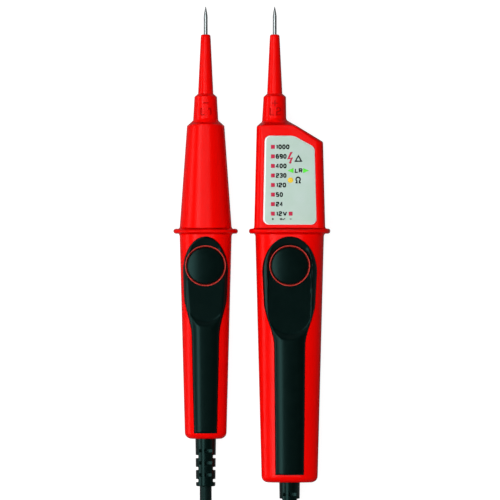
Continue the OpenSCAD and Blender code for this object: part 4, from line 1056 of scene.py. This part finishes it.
def lens_block(outline):
    piece = prism("lens", outline, PLATE_LOW, LENS_FACE, "display")
    body = bmesh.new()
    body.from_mesh(piece.data)
    top = (AXIS_HIGH + LENS_FACE) * MM
    rim = [e for e in body.edges if all(abs(v.co.z - top) < 1e-6 for v in e.verts)]
    bmesh.ops.bevel(body, geom=rim, offset=LENS_EDGE * MM, segments=3, profile=0.5, affect="EDGES")
    body.to_mesh(piece.data)
    body.free()
    return piece


for node, name, colour, slot_name, outlines in LENSES:
    dress(joined(name, [lens_block(outline) for outline in outlines]), windows[colour],
          slot_name, "display_handle", [node])

# %% [markdown]
# ## Printed figures and raised letters
#
# The figures on the scale are bold, wide and squarish. Blender's font is slim and round,
# so each figure is drawn as a few strokes with mitred corners, as a technical stencil
# would draw it. The signs on each lug are raised in the mould, in the housing's red; here
# they take a darker red, as painted shade on the relief.

# %% Turn strokes into thin meshes
def stroke_mesh(line, width, z, thick):
    """A flat band along a line of (x, y) points, mitred at its corners."""
    line = np.array(line, float)
    way = np.diff(line, axis=0)
    way /= np.linalg.norm(way, axis=1)[:, None]
    side = np.stack([-way[:, 1], way[:, 0]], 1)
    first, last = np.vstack([side[:1], side]), np.vstack([side, side[-1:]])
    if np.allclose(line[0], line[-1]):
        first[0], last[-1] = side[-1], side[0]
    mitre = (first + last) / np.maximum(1 + (first * last).sum(1), 0.35)[:, None] * width / 2
    rings = [[(*(p + m), z - thick), (*(p - m), z - thick), (*(p - m), z + thick),
              (*(p + m), z + thick)] for p, m in zip(line, mitre)]
    count = len(rings)
    faces = [(4 * r + i, 4 * r + (i + 1) % 4, 4 * r + 4 + (i + 1) % 4, 4 * r + 4 + i)
             for r in range(count - 1) for i in range(4)]
    if not np.allclose(line[0], line[-1]):
        faces += [(0, 1, 2, 3), tuple(4 * (count - 1) + i for i in range(4))]
    return np.array(rings).reshape(-1, 3), faces


def gathered(name, parts, handle):
    """One mesh from many (points, faces)."""
    points, faces = [], []
    for part_points, part_faces in parts:
        start = sum(len(p) for p in points)
        points.append(part_points)
        faces += [tuple(i + start for i in face) for face in part_faces]
    return mesh_piece(name, np.concatenate(points), faces, handle)


# %% Draw the figures as strokes
GLYPHS = {
    "0": [[(0, 0.5), (0, 0.25), (0.25, 0), (0.75, 0), (1, 0.25), (1, 0.75), (0.75, 1), (0.25, 1),
           (0, 0.75), (0, 0.5)]],
    "1": [[(0.2, 0.8), (0.78, 0.99)], [(0.85, 1.03), (0.85, 0)]],
    "2": [[(0, 0.76), (0, 0.86), (0.16, 1), (0.84, 1), (1, 0.86), (1, 0.66), (0.84, 0.53),
           (0.16, 0.47), (0, 0.34), (0, 0), (1, 0)]],
    "3": [[(0, 0.82), (0.16, 1), (0.84, 1), (1, 0.86), (1, 0.64), (0.84, 0.51), (0.36, 0.51)],
          [(0.84, 0.51), (1, 0.37), (1, 0.14), (0.84, 0), (0.16, 0), (0, 0.18)]],
    "4": [[(1.06, 0.27), (-0.06, 0.27), (0.62, 1.06)], [(0.76, 1.1), (0.76, -0.1)]],
    "5": [[(0.96, 1), (0.06, 1), (0.06, 0.56), (0.84, 0.56), (1, 0.42), (1, 0.14), (0.84, 0),
           (0.16, 0), (0, 0.16)]],
    "6": [[(0.92, 1), (0.16, 1), (0, 0.86), (0, 0.14), (0.16, 0), (0.84, 0), (1, 0.14),
           (1, 0.44), (0.84, 0.58), (0, 0.58)]],
    "9": [[(0.08, 0), (0.84, 0), (1, 0.14), (1, 0.86), (0.84, 1), (0.16, 1), (0, 0.86),
           (0, 0.56), (0.16, 0.42), (1, 0.42)]],
    "V": [[(0, 1), (0.46, 0)], [(0.54, 0), (1, 1)]],
    "L": [[(0, 1), (0, 0), (1, 0)]],
    "R": [[(0, 0), (0, 1), (0.84, 1), (1, 0.88), (1, 0.6), (0.84, 0.48), (0, 0.48)],
          [(0.45, 0.48), (1, 0)]],
}


GAP_SHARE, ONE_SHARE, FOUR_SHARE = 0.3, 0.62, 0.72


def figure(text, low_x, high_x, mid_y, tall, stroke, z, thick):
    """Strokes of a word between two places. A 1 is narrow, and a 4 has thinner strokes."""
    gap = stroke * GAP_SHARE
    shares = [ONE_SHARE if sign == "1" and len(text) > 1 else 1 for sign in text]
    room = (high_x - low_x - gap * (len(text) - 1)) / sum(shares)
    parts, x0 = [], low_x
    for sign, share in zip(text, shares):
        wide = room * share - stroke
        band = stroke * (FOUR_SHARE if sign == "4" else 1)
        for line in GLYPHS[sign]:
            placed = [(x0 + stroke / 2 + x * wide, mid_y + (y - 0.5) * (tall - stroke))
                      for x, y in line]
            parts.append(stroke_mesh(placed, band, z, thick))
        x0 += room * share + gap
    return parts


# %% Print the scale
FIGURES = [("12", -6.95, -3.8), ("24", -7.0, -3.4), ("50", -7.0, -3.4), ("120", -6.95, -1.8),
           ("230", -7.0, -1.65), ("400", -7.05, -1.6), ("690", -7.0, -1.6),
           ("1000", -7.0, -0.15)]
INK, FIGURE_TALL, LETTER_TALL = 0.012, 2.4, 2.3
STROKE = {"figure": 0.62, "volt": 0.64, "letter": 0.58, "ohm": 0.68, "triangle": 0.64,
          "sign": 0.42, "wave": 0.36}
ink_z = PLATE_FACE + INK / 2
print_parts = []
for i, (text, a, b) in enumerate(FIGURES):
    print_parts += figure(text, a, b, STEP_Y + i * STEP_PITCH, FIGURE_TALL, STROKE["figure"],
                          ink_z, INK)
print_parts += figure("V", -3.55, -1.35, STEP_Y, FIGURE_TALL, STROKE["volt"], ink_z, INK)
for letter, a, b in (("L", 2.5, 4.25), ("R", 4.5, 6.4)):
    print_parts += figure(letter, a, b, ARROW_Y, LETTER_TALL, STROKE["letter"], ink_z, INK)
OHM_TURN = np.radians(np.linspace(-52, 232, 30))
ohm = ([(1.35, -1.35), (0.62, -1.35), (0.72, -0.95)]
       + [(1.05 * math.cos(a), 0.32 + 1.1 * math.sin(a)) for a in OHM_TURN]
       + [(-0.72, -0.95), (-0.62, -1.35), (-1.35, -1.35)])
ohm = [(4.2 + x, 25.65 + y) for x, y in ohm]
print_parts.append(stroke_mesh(ohm, STROKE["ohm"], ink_z, INK))
TRIANGLE = [(4.35, 37.8), (2.8, 35.1), (5.9, 35.1), (4.35, 37.8)]
print_parts.append(stroke_mesh(TRIANGLE, STROKE["triangle"], ink_z, INK))
# Below the lowest windows: plus, direct and alternating current, minus
for a, b in [((-9.0, 6.05), (-8.0, 6.05)), ((-8.5, 5.55), (-8.5, 6.55)),
             ((-5.0, 6.3), (-3.7, 6.3)), ((-5.0, 5.8), (-3.7, 5.8)), ((0, 6.05), (0.95, 6.05))]:
    print_parts.append(stroke_mesh([a, b], STROKE["sign"], ink_z, INK))
for sway in (-1, 1):
    wave = [(-2.9 + sway * t, 6.05 + 0.28 * math.sin(sway * t * 5)) for t in np.linspace(0, 0.6, 9)]
    print_parts.append(stroke_mesh(wave, STROKE["wave"], ink_z, INK))
dress(gathered("scale_figures", print_parts, "display"), black_ink, "dark_plastic",
      "display_handle", crease=20)

# %% Raise the signs on the lugs
LUG_NEAR, LUG_FAR, LUG_BEND = (56.9, 6.3), (67.8, 5.675), 6.0


def on_lug(parts, nose):
    """Bends flat letters round the lug: their height becomes a radius."""
    bent = []
    for points, faces in parts:
        x, y, z = points.T
        radius = np.interp(y, (LUG_NEAR[0], LUG_FAR[0]), (LUG_NEAR[1], LUG_FAR[1])) + z
        turn = x / LUG_BEND
        bent.append((np.stack([nose + radius * np.sin(turn), y, radius * np.cos(turn)], 1), faces))
    return bent


SIGN_LINES = {"plain": [[(-1.45, 64.6), (-0.7, 64.6), (0, 64.6), (0.7, 64.6), (1.45, 64.6)]],
              "display": [[(-1.5, 64.4), (-0.7, 64.4), (0, 64.4), (0.7, 64.4), (1.5, 64.4)],
                          [(0, 62.95), (0, 65.85)]]}
SIGN_OUT, SIGN_THICK, SIGN_TALL, SIGN_STROKE, LETTER_Y = 0.1, 0.28, 4.1, 0.6, 60.3
DASH_STROKE = 0.55
for handle, digit in (("plain", "1"), ("display", "2")):
    raised = []
    for letter, a, b in (("L", -2.6, -0.3), (digit, 0.5, 2.9)):
        raised += figure(letter, a, b, LETTER_Y, SIGN_TALL, SIGN_STROKE, SIGN_OUT, SIGN_THICK)
    raised += [stroke_mesh(line, DASH_STROKE, SIGN_OUT, SIGN_THICK)
               for line in SIGN_LINES[handle]]
    # Their darker red is painted shade.
    dress(gathered(f"{handle}_lug_signs", on_lug(raised, NOSE_X[handle]), handle), relief_red_painted_shade,
          "red_plastic", f"{handle}_handle", crease=30)

# %% [markdown]
# ## Boots on the lead
#
# Where the lead leaves a handle, a rubber boot keeps it from kinking. Notches are cut
# into it in turn from the sides and from the faces, so that it bends like a chain, and
# a narrow spine runs on through the face notches. A polar grid with one radius for each
# angle and place gives all of that.

# %% Make the boots
BOOT_LEN, BOOT_NEAR, BOOT_FAR, BOOT_SIDES, TIP_ROUND = 24.0, 5.2, 4.875, 96, 0.5
# Flange and neck in the tail's bore: radius and place above the tail
BOOT_ROOT = ((4.75, 4.98), (4.75, 3.02), (3.98, 3.0), (3.98, 0.0))
SIDE_CORE, FACE_CORE, FACE_DISH = 3.7, 3.3, 0.05
SIDE_NOTCHES, FACE_NOTCHES = (9.1, 15.1, 21.2), (6.0, 12.1, 18.2)
NOTCH_HALF, NOTCH_RAMP = 0.75, 0.14
SPINE_TURN, SPINE_HALF = math.radians(254), math.radians(10)


def polar_ring(turn, radius, y):
    return np.stack([radius * np.cos(turn), np.full(len(turn), y), -radius * np.sin(turn)], 1)


def boot(handle):
    end = -BODY_LEN[handle]
    turn = round_turn(BOOT_SIDES)
    spine = np.abs((turn - SPINE_TURN + math.pi / 2) % math.pi - math.pi / 2) < SPINE_HALF
    side_floor = SIDE_CORE / np.maximum(np.abs(np.cos(turn)), 1e-3)
    # A dished floor at height core + dish * x * x, solved for the radius at each angle
    bend = 2 * FACE_DISH * np.cos(turn) ** 2
    rise = np.abs(np.sin(turn))
    room = rise ** 2 - 2 * bend * FACE_CORE
    face_floor = np.where((room > 0) & ~spine,
                          2 * FACE_CORE / (rise + np.sqrt(np.maximum(room, 0)) + 1e-9), 99.0)
    places = [0, 0.05, BOOT_LEN - TIP_ROUND, BOOT_LEN - 0.25, BOOT_LEN - 0.08, BOOT_LEN]
    for notch in SIDE_NOTCHES + FACE_NOTCHES:
        for side in (-1, 1):
            places += [notch + side * (NOTCH_HALF + NOTCH_RAMP * k) for k in (0, 0.35, 0.7, 1)]
    places += list(np.arange(1.5, BOOT_LEN - 1, 1.5))
    rings = [polar_ring(turn, r, end + y) for r, y in BOOT_ROOT]
    for down in sorted(set(round(p, 3) for p in places)):
        full = mix(BOOT_NEAR, BOOT_FAR, down / BOOT_LEN)
        past = max(0, down - BOOT_LEN + TIP_ROUND)
        full -= TIP_ROUND - math.sqrt(max(0, TIP_ROUND ** 2 - past ** 2))
        radius = np.full(BOOT_SIDES, full)
        for notches, floor_radius in ((SIDE_NOTCHES, side_floor), (FACE_NOTCHES, face_floor)):
            for notch in notches:
                depth = np.clip(1 - (abs(down - notch) - NOTCH_HALF) / NOTCH_RAMP, 0, 1)
                cut = np.minimum(full, floor_radius)
                radius = np.minimum(radius, full - depth * (full - cut))
        rings.append(polar_ring(turn, radius, end - down))
    return sewn(f"{handle}_boot", rings, handle)


for handle in HANDLE_X:
    dress(boot(handle), pad_rubber, "black_rubber", f"{handle}_handle",
          [f"{handle}_strain_relief"], crease=28)

# %% [markdown]
# ## The lead
#
# The lead is about a metre of soft cable, 6 mm thick, between the two boots. The
# photograph shows the boots alone, so the lead is wound below them as one would put it
# away: a flat coil of two layers, held by a strap. The route's points repeat those
# of the CAD source. The coil and the run to the display handle are one curve with a
# round bevel. The run to the plain handle is a tube of its own.

# %% Route points of the lead
LEAD_D = 6.0
COIL_CENTRE, COIL_R, COIL_PITCH = (-2.1, -192.0), 39.5, 6.5
COIL_LOW, COIL_LAYER, COIL_TURNS, COIL_STEPS = 3.65, 6.6, 4.5, 40
CLIMB_FROM, CLIMB_TURNS = 2, 0.5
PLAIN_ROUTE = [(-23.3, -110.1, 12), (-23.3, -114, 12), (-23.3, -118, 11.9), (-23.6, -123.5, 11.4),
               (-24.3, -128.5, 10.5), (-25.6, -134, 9.2), (-27.4, -138.5, 7.9),
               (-29.8, -143.5, 6.5), (-32.5, -148, 5.4), (-35.2, -152.5, 4.6), (-37.5, -157.5, 4.1),
               (-39.3, -162.5, 3.8), (-40.6, -167.5, 3.7), (-41.3, -173, 3.65),
               (-41.6, -180, 3.65), (-41.6, -186, 3.65)]
DISPLAY_ROUTE = [(19.05, -132.1, 12), (19.1, -138, 12), (19.4, -143, 11.9), (20.6, -147.5, 11.7),
                 (22.5, -151.5, 11.4), (25, -155.5, 11.1), (28.2, -159, 10.8), (31.4, -162.5, 10.5),
                 (34, -166.5, 10.4), (35.9, -171, 10.3), (37, -175.5, 10.3), (37.4, -181, 10.3)]


def coil_point(turn):
    """In towards the middle on the table, then out again on the second layer."""
    radius = COIL_R - COIL_PITCH * min(turn, COIL_TURNS - turn)
    angle = 2 * math.pi * turn
    rise = COIL_LOW + COIL_LAYER * float(ease((turn - CLIMB_FROM) / CLIMB_TURNS))
    return (COIL_CENTRE[0] - radius * math.cos(angle), COIL_CENTRE[1] - radius * math.sin(angle),
            rise)


def flowing(points, steps):
    """A smooth line through the points, steps to each stretch."""
    p = np.array(points, float)
    p = np.concatenate([[2 * p[0] - p[1]], p, [2 * p[-1] - p[-2]]])
    line = []
    for a, b, c, d in zip(p, p[1:], p[2:], p[3:]):
        for t in np.linspace(0, 1, steps, endpoint=False):
            line.append(0.5 * (2 * b + (c - a) * t + (2 * a - 5 * b + 4 * c - d) * t * t
                               + (3 * b - a - 3 * c + d) * t ** 3))
    return np.array(line + [p[-2]])


def run_length(line):
    return float(np.linalg.norm(np.diff(line, axis=0), axis=1).sum())


coil_turns = np.linspace(0, COIL_TURNS, int(COIL_TURNS * COIL_STEPS) + 1)
coil_line = [coil_point(turn) for turn in coil_turns]
# The coil's first point has a straight stub before it, where the other run begins
long_line = np.concatenate([flowing(DISPLAY_ROUTE + [(37.4, -186, 10.25)], 4),
                            np.array(coil_line[::-1]), [(-41.6, -186, 3.65)]])
short_line = flowing(PLAIN_ROUTE, 4)
print("Lead, mm:", round(run_length(long_line)), "and", round(run_length(short_line)))

# %% Lay the coil and the run to the display handle
curve = bpy.data.curves.new("lead_long", "CURVE")
curve.dimensions = "3D"
curve.bevel_depth = LEAD_D / 2 * MM
curve.bevel_resolution = 6
curve.use_fill_caps = True
curve.twist_mode = "Z_UP"
spline = curve.splines.new("POLY")
spline.points.add(len(long_line) - 1)
for point, place_mm in zip(spline.points, long_line):
    point.co = (*(place_mm * MM), 1)
spline.use_smooth = True
lead_long = show("lead_long", curve)
curve.materials.append(lead_rubber)
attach(lead_long, "display_handle")
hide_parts("lead_coil", "lead_display_run")
print("Lead drawn through", len(long_line), "points")

# %% Lay the run to the plain handle
def tube(name, line, radius, sides=28, handle=None):
    """A skin of even radius round a line."""
    way = np.gradient(line, axis=0)
    way /= np.linalg.norm(way, axis=1)[:, None]
    side = np.cross(way, (0, 0, 1.0))
    side /= np.linalg.norm(side, axis=1)[:, None]
    rise = np.cross(side, way)
    turn = round_turn(sides)
    rings = [p + radius * (np.cos(turn)[:, None] * s + np.sin(turn)[:, None] * r)
             for p, s, r in zip(line, side, rise)]
    return sewn(name, rings, handle)


lead_short = tube("lead_short", short_line, LEAD_D / 2)
dress(lead_short, lead_rubber, "lead_jacket", None, ["lead_plain_run"])
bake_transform(lead_short)

# %% [markdown]
# ## Button springs
#
# A wire spring under each cap pushes it back up. It is a tube along a helix whose first
# and last half turns lie flat, as on a wound spring, and it stands on the board.

# %% Wind the springs
SPRING_R, WIRE_R, SPRING_TURNS, FLAT_TURNS, SPRING_STEPS = 5.2, 0.35, 5, 0.5, 24
SPRING_LOW, SPRING_HIGH, BUTTON_STROKE = 0.9, 9.1, 1.2

turns = np.linspace(0, SPRING_TURNS, SPRING_TURNS * SPRING_STEPS + 1)
climb = np.clip((turns - FLAT_TURNS) / (SPRING_TURNS - 2 * FLAT_TURNS), 0, 1)
wire = np.column_stack([SPRING_R * np.cos(2 * math.pi * turns),
                        SPRING_R * np.sin(2 * math.pi * turns) + BUTTON_Y,
                        mix(SPRING_LOW + WIRE_R, SPRING_HIGH - WIRE_R, climb)])
for handle, x in HANDLE_X.items():
    spring = tube(f"{handle}_spring", wire, WIRE_R, sides=10, handle=handle)
    dress(spring, zinc_steel, "screw_steel", f"{handle}_handle", [f"{handle}_button_spring"])
    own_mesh(spring)

# %% [markdown]
# ## The strap round the coil
#
# A woven hook-and-loop strap holds both layers where the coil faces the handles. It is
# a soft rounded band, wound once round, made here from two rounded outlines.

# %% Make the strap
STRAP_X, STRAP_Y, STRAP_Z = (-6.1, 1.9), (-168.5, -153.3), (0.0, 14.05)
STRAP_T, STRAP_EDGE, STRAP_CORNER = 0.6, 0.18, 2.6


def strap_outline(inset):
    corners = [(STRAP_Y[0] + inset, STRAP_Z[0] + inset), (STRAP_Y[1] - inset, STRAP_Z[0] + inset),
               (STRAP_Y[1] - inset, STRAP_Z[1] - inset), (STRAP_Y[0] + inset, STRAP_Z[1] - inset)]
    return round_outline(corners, STRAP_CORNER - inset, steps=8)


left, right = STRAP_X
# Once round the band's section: how far in, and at which side
SECTION = [(0, left + STRAP_EDGE), (0, right - STRAP_EDGE), (STRAP_EDGE, right),
           (STRAP_T - STRAP_EDGE, right), (STRAP_T, right - STRAP_EDGE),
           (STRAP_T, left + STRAP_EDGE), (STRAP_T - STRAP_EDGE, left), (STRAP_EDGE, left)]
strap_rings = [[(x, y, z) for y, z in strap_outline(inset)] for inset, x in SECTION]
strap = sewn("coil_strap", strap_rings, looped=True)

# %% Weave its finish
# Nylon threads about 0.8 mm apart give the strap a dull ribbed look. At scale 1 a wave
# repeats each 0.314 m.
strap_nylon, tree, shader, place = new_finish(
    "black_nylon_woven", {"IOR": PLASTIC_IOR, "Roughness": 0.75, "Sheen Weight": 0.3})
tint(tree, shader, texture(tree, place, 0.8), "#141618", "#25282b")
THREADS = {"Scale": 400.0, "Distortion": 0.6, "bands_direction": "X"}
threads = put(tree, "ShaderNodeTexWave", THREADS, {"Vector": place})
relief(tree, shader, threads.outputs["Fac"], 0.08, 0.6)
dress(strap, strap_nylon, "dark_plastic", "display_handle", ["lead_tie"])

# %% [markdown]
# ## What the housing hides
#
# The CAD meshes of the inner parts stay. Each takes the finish that its slot names.

# %% Finish the inner parts
slots = {part["node"]: part["material_slot"] for part in frame["record"]["subparts"]}
hidden = 0
for node, obj in frame["nodes"].items():
    if obj.hide_render or slots[node] not in inner:
        continue
    obj.data.materials.clear()
    obj.data.materials.append(inner[slots[node]])
    hidden += 1
print("Inner parts finished:", hidden)

# %% [markdown]
# ## Table, light and room
#
# The handles lie on white paper that runs on to a far white wall. Two long soft strips
# hang to the left, one high and one low, and each draws a streak down every handle. The
# larger share of the light comes from a broad panel that stands for the light a room
# scatters. Gloss doesn't mirror that one, so the black rubber stays dark. A ground pin
# is a mirror, and shows a bright line only where a lamp hangs over it. A third strip
# overhead gives it that line. Flags keep that strip off all but the pins, and the low
# strip off the pins. Blender's light linking does the work of the flags.

# %% Lay the table and the far wall
PAPER_GLOW = 0.92


def glowing_paper(name, mirrored_share):
    """White to the camera; metal and gloss show a share of that white."""
    paper, tree, shader, place = new_finish(name, {"Roughness": 0.9, "IOR": 1.3,
                                                   "Emission Color": (1, 1, 1, 1)})
    tint(tree, shader, texture(tree, place, 40), "#7e7e7e", "#848484")
    seen = put(tree, "ShaderNodeLightPath").outputs
    mirrored = put(tree, "ShaderNodeMath", {"operation": "MULTIPLY", 1: mirrored_share},
                   {0: seen["Is Glossy Ray"]})
    either = put(tree, "ShaderNodeMath", {"operation": "MAXIMUM"},
                 {0: seen["Is Camera Ray"], 1: mirrored.outputs[0]})
    anyway = put(tree, "ShaderNodeMath", {"operation": "MAXIMUM"},
                 {0: either.outputs[0], 1: seen["Is Transmission Ray"]})
    glow = put(tree, "ShaderNodeMath", {"operation": "MULTIPLY", 1: PAPER_GLOW},
               {0: anyway.outputs[0]})
    tree.links.new(glow.outputs[0], shader.inputs["Emission Strength"])
    return paper


WALL_R, WALL_HIGH = 12000.0, 6000.0
FLOOR_MIRRORED, WALL_MIRRORED = 0.04, 0.2
SIDES = 96
floor_points = [(WALL_R * math.cos(a), WALL_R * math.sin(a), 0) for a in round_turn(SIDES)]
floor = mesh_piece("table", floor_points, [tuple(range(SIDES))])
wall_points = floor_points + [(x, y, WALL_HIGH) for x, y, z in floor_points]
wall_faces = [(i, (i + 1) % SIDES, SIDES + (i + 1) % SIDES, SIDES + i) for i in range(SIDES)]
backdrop = mesh_piece("far_wall", wall_points, wall_faces)
for part, share in ((floor, FLOOR_MIRRORED), (backdrop, WALL_MIRRORED)):
    part.data.materials.append(glowing_paper(f"{part.name}_paper", share))
print("Paper laid, m across:", 2 * WALL_R * MM)

# %% Hang the lights
def panel(name, place_mm, wide_mm, long_mm, power, mirrored):
    """A soft panel that faces the handles, its length along them."""
    light = bpy.data.lights.new(name, "AREA")
    light.shape = "RECTANGLE"
    light.size, light.size_y = wide_mm * MM, long_mm * MM
    light.energy = power
    lamp = show(name, light)
    back = Vector(place_mm).normalized()
    across = Vector((0, 1, 0)).cross(back).normalized()
    turn = Matrix((across, back.cross(across), back)).transposed()
    lamp.matrix_world = Matrix.Translation(Vector(place_mm) * MM) @ turn.to_4x4()
    lamp.visible_glossy = mirrored
    return lamp


def for_pieces(lamp, pieces, state):
    """The lamp lights these pieces alone, or all but them."""
    group = bpy.data.collections.new(f"{lamp.name}_pieces")
    for piece in pieces:
        group.objects.link(piece)
    lamp.light_linking.receiver_collection = group
    for row in group.collection_objects:
        row.light_linking.link_state = state


# Name, place, width and length in mm, watts, and whether gloss mirrors it
LAMPS = [("near_strip", (-480, 0, 880), 300, 1100, 2.7, True),
         ("far_strip", (-970, 0, 300), 340, 1100, 2.6, True),
         ("pin_strip", (-90, 0, 1000), 480, 1100, 2.4, True),
         ("room_fill", (-220, 0, 1080), 1100, 900, 12.0, False)]
lamps = {row[0]: panel(*row) for row in LAMPS}
pins = [bpy.data.objects[f"{handle}_pin"] for handle in HANDLE_X]
for_pieces(lamps["far_strip"], pins, "EXCLUDE")
for_pieces(lamps["pin_strip"], pins, "INCLUDE")

WORLD_GLOW = 0.04
world = bpy.data.worlds.new("room")
bpy.context.scene.world = world
world.use_nodes = True
background = world.node_tree.nodes["Background"].inputs
background["Color"].default_value = (1, 1, 1, 1)
background["Strength"].default_value = WORLD_GLOW
bpy.context.scene.view_settings.view_transform = "Standard"
print("Lights hung:", len(lamps))
